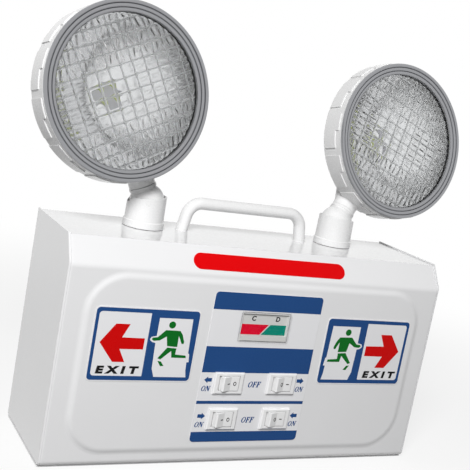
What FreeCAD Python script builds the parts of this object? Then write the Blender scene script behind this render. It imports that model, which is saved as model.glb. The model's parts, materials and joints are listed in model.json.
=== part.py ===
"""Twin-head emergency exit light: a folded steel housing with a carry handle, two swivel LED lamp
heads on top, and a front panel with two exit signs, a meter and four rocker switches.

Millimetres. The origin is the centre of the flat base, +Z is up and the front panel faces -Y.
"""

import FreeCAD, Part
import math
import os

V = FreeCAD.Vector
X_AXIS = V(1, 0, 0)
Y_AXIS = V(0, 1, 0)
Z_AXIS = V(0, 0, 1)

# ---- driving dimensions: housing -------------------------------------------------------------
WIDTH = 270.0            # across the side walls
HEIGHT = 142.0           # base to the top panel
DEPTH = 80.0             # back to the flat front
TOP_DEPTH = 69.6         # back to where the sloping edge meets the top
SLOPE_DROP = 15.6        # height of the sloping edge
SHEET = 1.2              # steel sheet
RIM = 0.8                # side walls stand this much above the top panel
FIT = 0.2                # gap between the two halves of the housing
BACK_Y = DEPTH / 2
FRONT_Y = -DEPTH / 2
HALF = WIDTH / 2
TOP_FRONT_Y = BACK_Y - TOP_DEPTH
SLOPE_Z = HEIGHT - SLOPE_DROP
BASE_GAP = SHEET + FIT   # the cover's walls end just above the base panel
COVER_FLANGE = 11.0      # return flanges of the cover, at the back and along the base
SCREW_RECESS = 3.0       # dimples that take the cover screws' heads

KEYHOLE_X, KEYHOLE_Z = 90.0, 116.0
INLET_X, INLET_Z = 96.0, 22.0
INLET_R = 3.6
GROMMET_NECK_R = 6.0

# raised field of the front panel
FIELD_W, FIELD_H = 244.8, 115.0
FIELD_Z = 66.5
FIELD_R = 26.0
FIELD_RISE = 1.3
FIELD_SLOPE = 3.0        # width of its sloping border
FIELD_EASE = 5.0         # rounding of the border's two edges
FIELD_Y = FRONT_Y - FIELD_RISE   # front surface of the field

# ---- driving dimensions: labels --------------------------------------------------------------
FILM = 0.3               # printed films
SIGN_W, SIGN_H, SIGN_R = 68.2, 46.6, 3.2
SIGN_X, SIGN_Z = 81.0, 79.9
LABEL_W, LABEL_H, LABEL_R = 79.0, 100.0, 3.0
LABEL_X, LABEL_Z = 0.2, 66.3
TITLE_L, TITLE_W = 111.4, 10.7
TITLE_DROP = 1.2         # below the middle of the sloping edge

# ---- driving dimensions: switches and meter --------------------------------------------------
BEZEL_W, BEZEL_H, BEZEL_T = 20.8, 14.4, 1.8
SWITCH_BODY_W, SWITCH_BODY_H, SWITCH_BODY_D = 18.8, 12.6, 15.0
SWITCH_WELL_W, SWITCH_WELL_H = 15.0, 10.4
SWITCH_XS = (LABEL_X - 19.6, LABEL_X + 19.6)
SWITCH_ZS = (56.5, 32.1)
ROCKER_TILT = 10.0       # each way from level
ROCKER_H = 9.8
ROCKER_CREST = (6.1, 7.0)    # level rocker's upper corner: half length, height above the pivot
ROCKER_SKIRT = (6.8, 2.0)    # foot of its end faces
ROCKER_KEEL = (3.0, -1.6)    # underside
ROCKER_VALLEY = 5.9      # height of the dip between the two crests
ROCKER_PIVOT = 5.7       # pivot behind the bezel's front
PIVOT_R = 1.2
METER_W, METER_H = 36.4, 20.2
METER_X, METER_Z = LABEL_X - 0.6, 94.1
METER_PROUD = 2.0
METER_DEPTH = 13.0
METER_WALL = 0.9
METER_CUT = 0.4          # window's border past the panel's opening
METER_CASE_GAP = 0.55    # window's border past the case behind it
METER_CASE_WALL = 0.7
METER_FACE_Y = FIELD_Y + 1.0     # front of the meter's dial
NEEDLE_PIVOT_Z = METER_Z - 7.1
NEEDLE_L = 12.0
NEEDLE_REST = 86.0               # degrees left of upright
MOVEMENT_R = 1.5

# ---- driving dimensions: handle --------------------------------------------------------------
FITTINGS_Y = 12.5        # line of the handle and the lamp turrets, along X
HANDLE_FOOT_X = 45.6
HANDLE_RISE = 18.9       # top panel to the bar's centre line
HANDLE_SPLAY = 10.0      # degrees
HANDLE_BEND_R = 10.5
HANDLE_T, HANDLE_D = 8.0, 9.0

# ---- driving dimensions: inside the housing --------------------------------------------------
BATTERY = {"x": -84.0, "w": 70.0, "d": 47.0, "h": 101.0}
TRANSFORMER = {"x": 95.0, "y": 12.0, "w": 48.0, "d": 20.0, "h": 40.0}
BOARD = {"x0": -32.0, "x1": 58.0, "z0": 64.0, "z1": 122.0, "stand": 6.0, "t": 1.6}

# ---- driving dimensions: lamp heads ----------------------------------------------------------
TURRET_X = 73.0
SEAT_GAP = 0.3           # turret flange to top panel
FLANGE_R, FLANGE_H = 13.4, 5.0
CUP_R = 12.5
RIM_LOW, RIM_HIGH = 18.6, 21.4   # cup rim above the top panel, open side and far side
STEM_R, STEM_L = 6.0, 11.0
BALL_Z = 17.0            # ball centre above the top panel
BALL_R = 11.3
BALL_GAP = 0.35
PIN_R = 1.5
RUNNING = 0.06           # radial clearance of pins and spigots
NECK_R = 8.6
NECK_L = 10.0            # ball centre to the swivel seam
SEAM_GAP = 0.3
SPIGOT_R, SPIGOT_L = 5.6, 10.0
WIRE_R = 2.4             # wire way through the neck and the stem
LAMP_D = 71.0            # ball centre to the lamp's own axis
LAMP_BACK = 24.0         # the neck meets the lamp this far behind its rim
SHELL_R = 55.3
SHELL_WALL = 2.2
BAND_L = 20.4            # straight part of the shell
LAMP_L = 45.0
PAD_COUNT = 12
PAD_RISE = 0.7
PAD_ANGLE = 24.6
BEZEL_R = 55.2
SPIGOT_RING_R = 54.0     # bezel's skirt, inside the shell's mouth
SHELL_FRONT = 2.5        # shell's front edge behind the bezel's rim
LENS_R, LENS_SEEN_R = 49.6, 47.3
LENS_T, LENS_DOME = 2.4, 4.0
LATTICE_PITCH = 8.3
RIB_W, RIB_H = 0.9, 0.8
REFLECTOR_T = 1.2
REFLECTOR_MOUTH_R = 47.0
REFLECTOR_THROAT_R = 9.0
REFLECTOR_MOUTH = 6.9    # depth of its mouth and of its throat, behind the rim
REFLECTOR_THROAT = 32.0
LED_PITCH = 8.0

# each head's pose at rest: direction it leans in (degrees from +X towards +Y), lean from
# upright, turn of the lamp about its own neck, and turn of the lens in its ring
HEADS = {
    "left": {"x": -TURRET_X, "towards": 164.0, "lean": 26.3, "turn": 203.7, "lattice": 4.3},
    "right": {"x": TURRET_X, "towards": 22.8, "lean": 33.2, "turn": -21.8, "lattice": -11.3},
}


# ---- small building blocks -------------------------------------------------------------------
def box(x0, x1, y0, y1, z0, z1):
    """Block between two corners."""
    return Part.makeBox(x1 - x0, y1 - y0, z1 - z0, V(x0, y0, z0))


def rod(radius, start, along, length):
    """Cylinder from a point, in a direction."""
    return Part.makeCylinder(radius, length, start, along)


def polygon(points):
    """Closed wire through points."""
    return Part.makePolygon(list(points) + [points[0]])


def prism(points, along):
    """Solid swept from a flat outline by a vector."""
    return Part.Face(polygon(points)).extrude(along)


def rounded_outline(width, height, radius, y, cx=0.0, cz=0.0):
    """Rounded rectangle in the plane of the front panel."""
    hx, hz = width / 2, height / 2
    turn = radius * (1 - math.sqrt(0.5))
    edges = []
    corners = [(1, 1), (-1, 1), (-1, -1), (1, -1)]
    for n, (sx, sz) in enumerate(corners):
        first = V(cx + sx * hx, y, cz + sz * (hz - radius))
        last = V(cx + sx * (hx - radius), y, cz + sz * hz)
        middle = V(cx + sx * (hx - turn), y, cz + sz * (hz - turn))
        if n % 2:
            first, last = last, first
        edges.append((first, middle, last))
    wire = []
    for n, (first, middle, last) in enumerate(edges):
        wire.append(Part.Arc(first, middle, last).toShape())
        following = edges[(n + 1) % 4][0]
        if last.distanceToPoint(following) > 1e-6:
            wire.append(Part.LineSegment(last, following).toShape())
    return Part.Wire(wire)


def rounded_plate(width, height, radius, y_front, thickness, cx, cz):
    """Flat plate with rounded corners, lying in the front panel's plane."""
    outline = rounded_outline(width, height, radius, y_front, cx, cz)
    return Part.Face(outline).extrude(V(0, thickness, 0))


def chamfered(shape, size, chosen):
    """Shape with a chamfer on the edges that a test picks."""
    edges = [e for e in shape.Edges if chosen(e)]
    return shape.makeChamfer(size, edges)


def filleted(shape, radius, chosen):
    """Shape with a fillet on the edges that a test picks."""
    edges = [e for e in shape.Edges if chosen(e)]
    return shape.makeFillet(radius, edges)


def lies_at(edge, **place):
    """True where all of an edge's ends share the given x, y or z."""
    return all(
        abs(getattr(v.Point, axis) - value) < 1e-4
        for v in edge.Vertexes
        for axis, value in place.items()
    )


def is_upright(edge):
    """True for an edge that runs up and down."""
    first, last = edge.Vertexes[0].Point, edge.Vertexes[-1].Point
    return abs(first.z - last.z) > 0.9 * edge.Length


def is_depthwise(edge):
    """True for an edge that runs from front to back."""
    first, last = edge.Vertexes[0].Point, edge.Vertexes[-1].Point
    return abs(first.y - last.y) > 0.9 * edge.Length


def turned(profile, axis_at, axis):
    """Closed outline of (radius, height) pairs turned once about an axis."""
    across = X_AXIS if abs(axis.x) < 0.5 else Y_AXIS
    points = [axis_at + across * r + axis * h for r, h in profile]
    return Part.Face(polygon(points)).revolve(axis_at, axis, 360)


def turned_wire(edges, axis_at, axis):
    """Closed outline of edges turned once about an axis."""
    return Part.Face(Part.Wire(edges)).revolve(axis_at, axis, 360)


def together(shapes):
    """One solid from several that meet."""
    return shapes[0].fuse(shapes[1:]).removeSplitter()


NODES = {}


def keep(name, shape):
    """Record a finished sub-part."""
    NODES[name] = shape


# ---- housing ---------------------------------------------------------------------------------
def side_outline(grow=0.0, x=0.0):
    """Side profile of the cover above the base gap, grown along its top, front corners rounded."""
    lean = math.atan2(SLOPE_DROP, DEPTH - TOP_DEPTH)
    back = BACK_Y - SHEET - FIT
    heel = V(x, back, BASE_GAP)
    crown = V(x, back, HEIGHT + grow)
    ridge = V(x, TOP_FRONT_Y - grow * math.tan(lean / 2), HEIGHT + grow)
    knee = V(x, FRONT_Y, SLOPE_Z + grow / math.cos(lean))
    toe = V(x, FRONT_Y, BASE_GAP)
    knee_arc = corner_arc(ridge, knee, toe, 5.0)
    toe_arc = corner_arc(knee, toe, heel, 3.4)
    parts = [
        Part.LineSegment(heel, crown).toShape(),
        Part.LineSegment(crown, ridge).toShape(),
        Part.LineSegment(ridge, knee_arc[0]).toShape(),
        Part.Arc(*knee_arc).toShape(),
        Part.LineSegment(knee_arc[2], toe_arc[0]).toShape(),
        Part.Arc(*toe_arc).toShape(),
        Part.LineSegment(toe_arc[2], heel).toShape(),
    ]
    return Part.Wire(parts)


def corner_arc(before, corner, after, radius):
    """Three points of the arc that rounds a corner between two neighbours."""
    one = before - corner
    two = after - corner
    one.normalize()
    two.normalize()
    half = one.getAngle(two) / 2
    reach = radius / math.tan(half)
    middle = one + two
    middle.normalize()
    centre = corner + middle * (radius / math.sin(half))
    return corner + one * reach, centre - middle * radius, corner + two * reach


def field_block(y_base):
    """Raised field of the front panel, with sloping edges, standing on a plane."""
    base = rounded_outline(FIELD_W, FIELD_H, FIELD_R, y_base, 0, FIELD_Z)
    slope = FIELD_SLOPE
    top = rounded_outline(
        FIELD_W - 2 * slope, FIELD_H - 2 * slope, FIELD_R - slope, y_base - FIELD_RISE, 0, FIELD_Z
    )
    return Part.makeLoft([base, top], True, True)


def panel_cutouts(grow=0.0):
    """Openings through the front panel for the switches and the meter."""
    depth = 12.0
    cuts = [
        box(x - SWITCH_BODY_W / 2 - FIT - grow, x + SWITCH_BODY_W / 2 + FIT + grow,
            FIELD_Y - depth / 2, FIELD_Y + depth,
            z - SWITCH_BODY_H / 2 - FIT - grow, z + SWITCH_BODY_H / 2 + FIT + grow)
        for x in SWITCH_XS for z in SWITCH_ZS
    ]
    half_w, half_h = METER_W / 2 - METER_CUT + grow, METER_H / 2 - METER_CUT + grow
    cuts.append(box(METER_X - half_w, METER_X + half_w, FIELD_Y - depth / 2, FIELD_Y + depth,
                    METER_Z - half_h, METER_Z + half_h))
    return cuts


def front_cover():
    """Folded front: panel with raised field, sloping edge, side walls and return flanges."""
    outer = Part.Face(side_outline(0.0, -HALF)).extrude(V(WIDTH, 0, 0))
    outer = filleted(outer, 2.4, on_front_edge)
    slope = V(0, TOP_FRONT_Y - FRONT_Y, SLOPE_DROP)
    slope.normalize()
    inward = V(0, slope.z, -slope.y) * SHEET
    up = V(0, TOP_FRONT_Y, HEIGHT) + inward
    knee = up - slope * ((up.y - (FRONT_Y + SHEET)) / slope.y)
    above = HEIGHT + 20
    inner = prism(
        [
            V(0, BACK_Y + 10, BASE_GAP + SHEET),
            V(0, BACK_Y + 10, above),
            V(0, up.y + slope.y * 20, above),
            up,
            knee,
            V(0, FRONT_Y + SHEET, BASE_GAP + SHEET),
        ],
        V(WIDTH - 2 * SHEET, 0, 0),
    )
    inner.translate(V(-HALF + SHEET, 0, 0))
    over = box(-HALF + SHEET, HALF - SHEET, TOP_FRONT_Y, BACK_Y + 10, HEIGHT - 4, above)
    under = box(-HALF + SHEET, HALF - SHEET, FRONT_Y + COVER_FLANGE, BACK_Y + 10,
                -5, BASE_GAP + SHEET + 1)
    raised = outer.fuse(field_block(FRONT_Y))
    raised = filleted(raised, FIELD_EASE, lambda e: on_field_outline(e, FIELD_Y))
    raised = filleted(raised, FIELD_EASE, lambda e: on_field_outline(e, FRONT_Y))
    shell = raised.cut([inner, over, under])
    shell = shell.cut(field_block(FRONT_Y + SHEET))
    pieces = [shell]
    flange_y = BACK_Y - SHEET - SCREW_RECESS - FIT
    for side in (-1, 1):
        wall = Part.Face(side_outline(RIM, side * HALF)).extrude(V(-side * SHEET, 0, 0))
        wall = filleted(wall, 1.1, lambda e: on_front_edge(e) and lies_at(e, x=side * HALF))
        pieces.append(wall)
        x0, x1 = sorted((side * (HALF - SHEET / 2), side * (HALF - COVER_FLANGE - 2)))
        pieces.append(box(x0, x1, flange_y - SHEET, flange_y, BASE_GAP + 4, HEIGHT - 10))
    cover = together(pieces)
    cover = cover.cut(panel_cutouts())
    holes = [
        rod(1.6, V(x, flange_y + 1, z), -Y_AXIS, 6) for x, z in cover_screw_places()
    ]
    return cover.cut(holes)


def on_field_outline(edge, y):
    """True for an edge of the raised field's border that lies in the plane of a given y."""
    bounds = edge.BoundBox
    level = abs(bounds.YMin - y) < 1e-3 and abs(bounds.YMax - y) < 1e-3
    inside = max(abs(bounds.XMin), abs(bounds.XMax)) < FIELD_W / 2 + 0.01
    return level and inside and abs(bounds.ZMin) > FIELD_Z - FIELD_H / 2 - 0.01


def on_front_edge(edge):
    """True for the upright edges between the front panel and the side walls."""
    outside = lies_at(edge, x=HALF) or lies_at(edge, x=-HALF)
    return outside and lies_at(edge, y=FRONT_Y)


def cover_screw_places():
    """Where the cover screws go through the back, as (x, z)."""
    return [(sx * (HALF - 8.5), z) for sx in (-1, 1) for z in (18.0, HEIGHT - 22.0)]


def keyhole(x, z):
    """Cutter for a wall keyhole: a round entry with a narrower slot above it."""
    entry = rod(4.0, V(x, BACK_Y + 1, z), -Y_AXIS, 6)
    slot = box(x - 2.1, x + 2.1, BACK_Y - 5, BACK_Y + 1, z, z + 9)
    end = rod(2.1, V(x, BACK_Y + 1, z + 9), -Y_AXIS, 6)
    return entry.fuse([slot, end])


def rear_chassis():
    """Folded back, top and base in one sheet, with a lip under the sloping edge."""
    wide = 2 * HALF - 0.8
    outer = box(-wide / 2, wide / 2, FRONT_Y + 3, BACK_Y, 0, HEIGHT)
    outer = filleted(outer, 2.0, lambda e: lies_at(e, y=BACK_Y) and e.Length > WIDTH / 2)
    inner = box(-wide, wide, FRONT_Y - 5, BACK_Y - SHEET, SHEET, HEIGHT - SHEET)
    sheet = outer.cut(inner)
    ahead = box(-wide, wide, FRONT_Y - 5, TOP_FRONT_Y + FIT, SHEET + 1, HEIGHT + 5)
    pieces = [sheet.cut(ahead)]
    slope = V(0, TOP_FRONT_Y - FRONT_Y, SLOPE_DROP)
    slope.normalize()
    inward = V(0, slope.z, -slope.y)
    root = V(-wide / 2, TOP_FRONT_Y + FIT, HEIGHT) + inward * (SHEET + FIT)
    lip = [root, root - slope * 9, root - slope * 9 + inward * SHEET, root + inward * SHEET]
    lip.insert(0, V(-wide / 2, TOP_FRONT_Y + 3, HEIGHT - SHEET))
    pieces.append(prism(lip, V(wide, 0, 0)))
    for x, z in cover_screw_places():
        dimple = Part.makeCone(6.0, 4.6, SCREW_RECESS + SHEET, V(x, BACK_Y, z), -Y_AXIS)
        pieces.append(dimple)
    chassis = together(pieces)
    cuts = []
    for side in (-1, 1):
        edge = HALF - SHEET - FIT
        x0, x1 = sorted((side * edge, side * (edge + 8)))
        cuts.append(box(x0, x1, FRONT_Y - 5, BACK_Y - SHEET, SHEET, HEIGHT + 5))
        cuts.append(rod(STEM_R + RUNNING, V(side * TURRET_X, FITTINGS_Y, HEIGHT - 6), Z_AXIS, 10))
        cuts.append(rod(2.2, V(side * HANDLE_FOOT_X, FITTINGS_Y, HEIGHT - 6), Z_AXIS, 10))
        cuts.append(keyhole(side * KEYHOLE_X, KEYHOLE_Z))
    for x, z in cover_screw_places():
        cuts.append(Part.makeCone(5.0, 3.8, SCREW_RECESS, V(x, BACK_Y, z), -Y_AXIS))
        cuts.append(rod(2.1, V(x, BACK_Y, z), -Y_AXIS, 8))
    cuts.append(rod(GROMMET_NECK_R, V(INLET_X, BACK_Y + 1, INLET_Z), -Y_AXIS, 5))
    return chassis.cut(cuts)


def cable_grommet():
    """Rubber bush in the back panel, for the supply lead to pass through."""
    profile = [
        (INLET_R, 2.0), (8.2, 2.0), (8.8, 1.4), (8.8, 0.0), (GROMMET_NECK_R, 0.0),
        (GROMMET_NECK_R, -SHEET), (8.4, -SHEET), (7.6, -4.0), (INLET_R, -4.0),
    ]
    return turned(profile, V(INLET_X, BACK_Y, INLET_Z), Y_AXIS)


def pan_head_screw(tip_to_head, place, along, head_r=3.4, shank_r=1.5):
    """Pan-head screw: head at a place, shank running along a direction, cross-slotted head."""
    shank = rod(shank_r, place, along, tip_to_head)
    dome = Part.makeSphere(head_r * 1.3, place + along * (head_r * 0.55))
    head = rod(head_r, place - along * 2.0, along, 2.0).common(dome)
    side = V(along.y, along.z, along.x)
    slots = []
    for direction in (side, along.cross(side)):
        bar = Part.makeBox(head_r * 1.2, 0.8, 0.9)
        bar.translate(V(-head_r * 0.6, -0.4, 0))
        turn = FreeCAD.Rotation(direction, direction.cross(along) * -1, along, "XZY")
        bar.Placement = FreeCAD.Placement(place - along * 2.1, turn).multiply(bar.Placement)
        slots.append(bar)
    return head.fuse(shank).cut(slots)


def cover_screws():
    """The four screws that hold the cover to the chassis, in their dimples."""
    seat = BACK_Y - SCREW_RECESS
    return Part.makeCompound(
        [pan_head_screw(7, V(x, seat, z), -Y_AXIS) for x, z in cover_screw_places()]
    )


# ---- handle ----------------------------------------------------------------------------------
def handle_path(rise):
    """Handle centre line: splayed legs, large bends and a level bar."""
    splay = math.radians(HANDLE_SPLAY)
    knee_x = HANDLE_FOOT_X - rise * math.tan(splay)
    turn = math.radians(90) - splay
    back = HANDLE_BEND_R * math.tan(turn / 2)
    z_top = HEIGHT + rise
    leg = V(-math.sin(splay), 0, math.cos(splay))
    foot = V(HANDLE_FOOT_X, FITTINGS_Y, HEIGHT)
    knee = V(knee_x, FITTINGS_Y, z_top)
    bend_low = knee - leg * back
    bend_high = knee - X_AXIS * back
    centre = bend_high - Z_AXIS * HANDLE_BEND_R
    out = (knee - centre)
    out.normalize()
    bend_mid = centre + out * HANDLE_BEND_R

    def mirror(point):
        return V(-point.x, point.y, point.z)

    return Part.Wire([
        Part.LineSegment(foot, bend_low).toShape(),
        Part.Arc(bend_low, bend_mid, bend_high).toShape(),
        Part.LineSegment(bend_high, mirror(bend_high)).toShape(),
        Part.Arc(mirror(bend_high), mirror(bend_mid), mirror(bend_low)).toShape(),
        Part.LineSegment(mirror(bend_low), mirror(foot)).toShape(),
    ])


def carry_handle():
    """Fixed bow handle of oval bar, feet cut level to stand on the top panel."""
    path = handle_path(HANDLE_RISE)
    foot = V(HANDLE_FOOT_X, FITTINGS_Y, HEIGHT)
    section = Part.Ellipse(V(0, 0, 0), HANDLE_D / 2, HANDLE_T / 2).toShape()
    section.rotate(V(0, 0, 0), Z_AXIS, 90)
    section.rotate(V(0, 0, 0), Y_AXIS, -HANDLE_SPLAY)
    section.translate(foot)
    bow = path.makePipeShell([Part.Wire(section)], True, True)
    feet = []
    for side in (-1, 1):
        foot_face = V(side * HANDLE_FOOT_X, FITTINGS_Y, HEIGHT)
        splay = math.radians(HANDLE_SPLAY) * side
        root = foot_face - V(-math.sin(splay), 0, math.cos(splay)) * 2
        stub = Part.Face(Part.Wire(Part.Ellipse(V(0, 0, 0), HANDLE_D / 2, HANDLE_T / 2).toShape()))
        stub.rotate(V(0, 0, 0), Z_AXIS, 90)
        stub.rotate(V(0, 0, 0), Y_AXIS, -HANDLE_SPLAY * side)
        stub.translate(root)
        feet.append(stub.extrude(V(-math.sin(splay), 0, math.cos(splay)) * 4))
    bow = bow.fuse(feet).removeSplitter()
    below = box(-80, 80, -20, 40, HEIGHT - 10, HEIGHT)
    holes = [rod(1.5, V(s * HANDLE_FOOT_X, FITTINGS_Y, HEIGHT - 1), Z_AXIS, 9) for s in (-1, 1)]
    return bow.cut([below] + holes)


def handle_screws():
    """Screws from inside the housing up into the handle's feet."""
    return Part.makeCompound([
        pan_head_screw(8, V(s * HANDLE_FOOT_X, FITTINGS_Y, HEIGHT - SHEET), Z_AXIS) for s in (-1, 1)
    ])


# ---- labels ----------------------------------------------------------------------------------
def exit_sign(side):
    """Printed film sign on the raised field."""
    return rounded_plate(SIGN_W, SIGN_H, SIGN_R, FIELD_Y - FILM, FILM, side * SIGN_X, SIGN_Z)


def control_label():
    """Printed film round the switches and the meter."""
    film = rounded_plate(LABEL_W, LABEL_H, LABEL_R, FIELD_Y - FILM, FILM, LABEL_X, LABEL_Z)
    return film.cut(panel_cutouts())


def title_plate():
    """Blank pill-shaped plate along the sloping edge."""
    plate = rounded_plate(TITLE_L, TITLE_W, TITLE_W / 2 - 0.01, -FILM, FILM, 0, 0)
    lean = math.degrees(math.atan2(DEPTH - TOP_DEPTH, SLOPE_DROP))
    plate.rotate(V(0, 0, 0), X_AXIS, -lean)
    plate.translate(V(0, (FRONT_Y + TOP_FRONT_Y) / 2, (SLOPE_Z + HEIGHT) / 2))
    along = V(0, FRONT_Y - TOP_FRONT_Y, SLOPE_Z - HEIGHT)
    plate.translate(along * (TITLE_DROP / along.Length))
    return plate


# ---- meter -----------------------------------------------------------------------------------
def meter_inside(trim=0.0):
    """Half width and half height of the room inside the meter's case."""
    border = METER_CASE_GAP + METER_CASE_WALL + trim
    return METER_W / 2 - border, METER_H / 2 - border


def meter_window():
    """Clear moulded window, standing proud of the label."""
    front = FIELD_Y - FILM - METER_PROUD
    outer = rounded_plate(METER_W, METER_H, 1.2, front, METER_PROUD, METER_X, METER_Z)
    outer = filleted(outer, 0.6, lambda e: lies_at(e, y=front))
    inner = rounded_plate(
        METER_W - 2 * METER_WALL, METER_H - 2 * METER_WALL, 0.2,
        front + METER_WALL, METER_PROUD, METER_X, METER_Z,
    )
    return outer.cut(inner)


def meter_case():
    """Moulded tub behind the panel, open at the front, with posts for the dial."""
    half_w, half_h = METER_W / 2 - METER_CASE_GAP, METER_H / 2 - METER_CASE_GAP
    room_w, room_h = meter_inside()
    front = FIELD_Y - FILM + 0.05
    back = FIELD_Y + METER_DEPTH
    tub = box(METER_X - half_w, METER_X + half_w, front, back, METER_Z - half_h, METER_Z + half_h)
    room = box(METER_X - room_w, METER_X + room_w, front - 1, back - 1.0,
               METER_Z - room_h, METER_Z + room_h)
    seat = METER_FACE_Y + 0.6
    posts = [
        rod(1.7, V(METER_X + s * 9, seat, METER_Z + 5), Y_AXIS, back - 0.5 - seat) for s in (-1, 1)
    ]
    bearing = rod(1.9, V(METER_X, back - 2.6, NEEDLE_PIVOT_Z), Y_AXIS, 2.0)
    pivot = rod(0.5 + RUNNING, V(METER_X, back - 3, NEEDLE_PIVOT_Z), Y_AXIS, 2.2)
    return together([tub.cut(room), bearing] + posts).cut(pivot)


def meter_dial():
    """Printed dial plate, with a hole for the needle's staff."""
    half_w, half_h = meter_inside(0.1)
    plate = box(METER_X - half_w, METER_X + half_w, METER_FACE_Y, METER_FACE_Y + 0.6,
                METER_Z - half_h, METER_Z + half_h)
    return plate.cut(rod(1.0, V(METER_X, METER_FACE_Y - 1, NEEDLE_PIVOT_Z), Y_AXIS, 3))


def meter_screen():
    """Strip across the foot of the dial, which hides the needle's pivot and its zero stop."""
    half_w, half_h = meter_inside(0.1)
    front = METER_FACE_Y - 1.9
    foot = METER_Z - half_h
    strip = box(METER_X - half_w, METER_X + half_w, front, front + 0.5, foot, foot + 3.2)
    ends = [
        box(x0, x0 + 1.0, front + 0.5, METER_FACE_Y, foot, foot + 3.2)
        for x0 in (METER_X - half_w, METER_X + half_w - 1.0)
    ]
    return strip.fuse(ends).removeSplitter()


def meter_needle():
    """Moving magnet with its staff and needle, at its zero stop."""
    pivot = V(METER_X, 0, NEEDLE_PIVOT_Z)
    front = METER_FACE_Y - 0.9
    back = FIELD_Y + METER_DEPTH
    staff = rod(0.5, V(METER_X, front, NEEDLE_PIVOT_Z), Y_AXIS, back - 1.4 - front)
    magnet = rod(MOVEMENT_R, V(METER_X, METER_FACE_Y + 2.0, NEEDLE_PIVOT_Z), Y_AXIS, 5.0)
    blade = prism(
        [
            V(METER_X - 0.6, front, NEEDLE_PIVOT_Z - 1.0),
            V(METER_X + 0.6, front, NEEDLE_PIVOT_Z - 1.0),
            V(METER_X + 0.25, front, NEEDLE_PIVOT_Z + NEEDLE_L),
            V(METER_X - 0.25, front, NEEDLE_PIVOT_Z + NEEDLE_L),
        ],
        V(0, 0.5, 0),
    )
    blade.rotate(pivot, Y_AXIS, -NEEDLE_REST)
    return together([staff, magnet, blade])


# ---- switches --------------------------------------------------------------------------------
def switch_pivot_y():
    """Rocker pivot, set so that the pressed end lies nearly level with the bezel."""
    return FIELD_Y - FILM - BEZEL_T + ROCKER_PIVOT


def rocker(x, z):
    """Rocker with a dip between its crests, and pivot stubs, tipped with its right-hand end in."""
    y = switch_pivot_y()
    right = [ROCKER_CREST, ROCKER_SKIRT, ROCKER_KEEL]
    outline = [(0.0, ROCKER_VALLEY)] + right + [(-px, h) for px, h in reversed(right)]
    low = z - ROCKER_H / 2
    body = prism([V(x + px, y - h, low) for px, h in outline], V(0, 0, ROCKER_H))
    crest_y = y - ROCKER_CREST[1]
    body = filleted(body, 0.6, lambda e: lies_at(e, y=crest_y) and e.Length > 1)
    body = filleted(body, 0.35, lambda e: e.Length > 4 and on_top(e, y - ROCKER_VALLEY + 0.2))
    stub = rod(PIVOT_R, V(x, y, z - ROCKER_H / 2 - 1.0), Z_AXIS, ROCKER_H + 2.0)
    shape = body.fuse(stub).removeSplitter()
    shape.rotate(V(x, y, z), Z_AXIS, ROCKER_TILT)
    return shape


def on_top(edge, y):
    """True for an upper or lower edge of the rocker's touch faces."""
    ends = [v.Point for v in edge.Vertexes]
    level = len(ends) == 2 and abs(ends[0].z - ends[1].z) < 1e-4
    return level and all(p.y < y for p in ends)


def switch_frame(x, z):
    """Snap-in switch housing: bezel, body with a well for the rocker, and snap wings."""
    front = FIELD_Y - FILM - BEZEL_T
    bezel = box(x - BEZEL_W / 2, x + BEZEL_W / 2, front, front + BEZEL_T,
                z - BEZEL_H / 2, z + BEZEL_H / 2)
    bezel = chamfered(bezel, 0.7, lambda e: lies_at(e, y=front))
    body = box(x - SWITCH_BODY_W / 2, x + SWITCH_BODY_W / 2,
               front + BEZEL_T, front + BEZEL_T + SWITCH_BODY_D,
               z - SWITCH_BODY_H / 2, z + SWITCH_BODY_H / 2)
    well_back = switch_pivot_y() - ROCKER_KEEL[1] + 1.0
    well = box(x - SWITCH_WELL_W / 2, x + SWITCH_WELL_W / 2, front - 1, well_back,
               z - SWITCH_WELL_H / 2, z + SWITCH_WELL_H / 2)
    pivot = rod(PIVOT_R + RUNNING, V(x, switch_pivot_y(), z - ROCKER_H / 2 - 1.1), Z_AXIS, ROCKER_H + 2.2)
    wings = []
    for side in (-1, 1):
        edge = x + side * SWITCH_BODY_W / 2
        tip = V(edge, FIELD_Y + SHEET + 0.8, z - 2.5)
        wing = prism(
            [tip, tip + V(side * 1.2, 0.4, 0), tip + V(0, 6.0, 0), tip + V(-side * 0.5, 6.0, 0),
             tip + V(-side * 0.5, 0, 0)],
            V(0, 0, 5),
        )
        wings.append(wing)
    return together([bezel, body] + wings).cut([well, pivot])


def switch_tabs():
    """Brass connection tabs at the back of every switch, two to a switch."""
    y0 = FIELD_Y - FILM + SWITCH_BODY_D
    tabs = []
    for x in SWITCH_XS:
        for z in SWITCH_ZS:
            for dx in (-4.5, 4.5):
                tab = box(x + dx - 0.4, x + dx + 0.4, y0, y0 + 8.0, z - 2.4, z + 2.4)
                tab = chamfered(tab, 1.0, lambda e: lies_at(e, y=y0 + 8.0) and e.Length < 2)
                tabs.append(tab.cut(rod(0.7, V(x + dx - 1, y0 + 5, z), X_AXIS, 2)))
    return Part.makeCompound(tabs)


# ---- inside the housing ----------------------------------------------------------------------
def battery_block():
    """Sealed lead-acid battery with a lidded top and two raised tab terminals."""
    b = BATTERY
    y1 = BACK_Y - SHEET - 1.5
    y0 = y1 - b["d"]
    x0 = b["x"] - b["w"] / 2
    case = box(x0, x0 + b["w"], y0, y1, SHEET, SHEET + b["h"] - 6)
    case = filleted(case, 2.0, is_upright)
    lid = box(x0 + 1, x0 + b["w"] - 1, y0 + 1, y1 - 1, SHEET + b["h"] - 6, SHEET + b["h"] - 3)
    tabs = [
        box(x0 + dx, x0 + dx + 4.8, y0 + 8, y0 + 8.8, SHEET + b["h"] - 3, SHEET + b["h"] + 3)
        for dx in (12.0, b["w"] - 16.8)
    ]
    return together([case, lid] + tabs)


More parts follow.
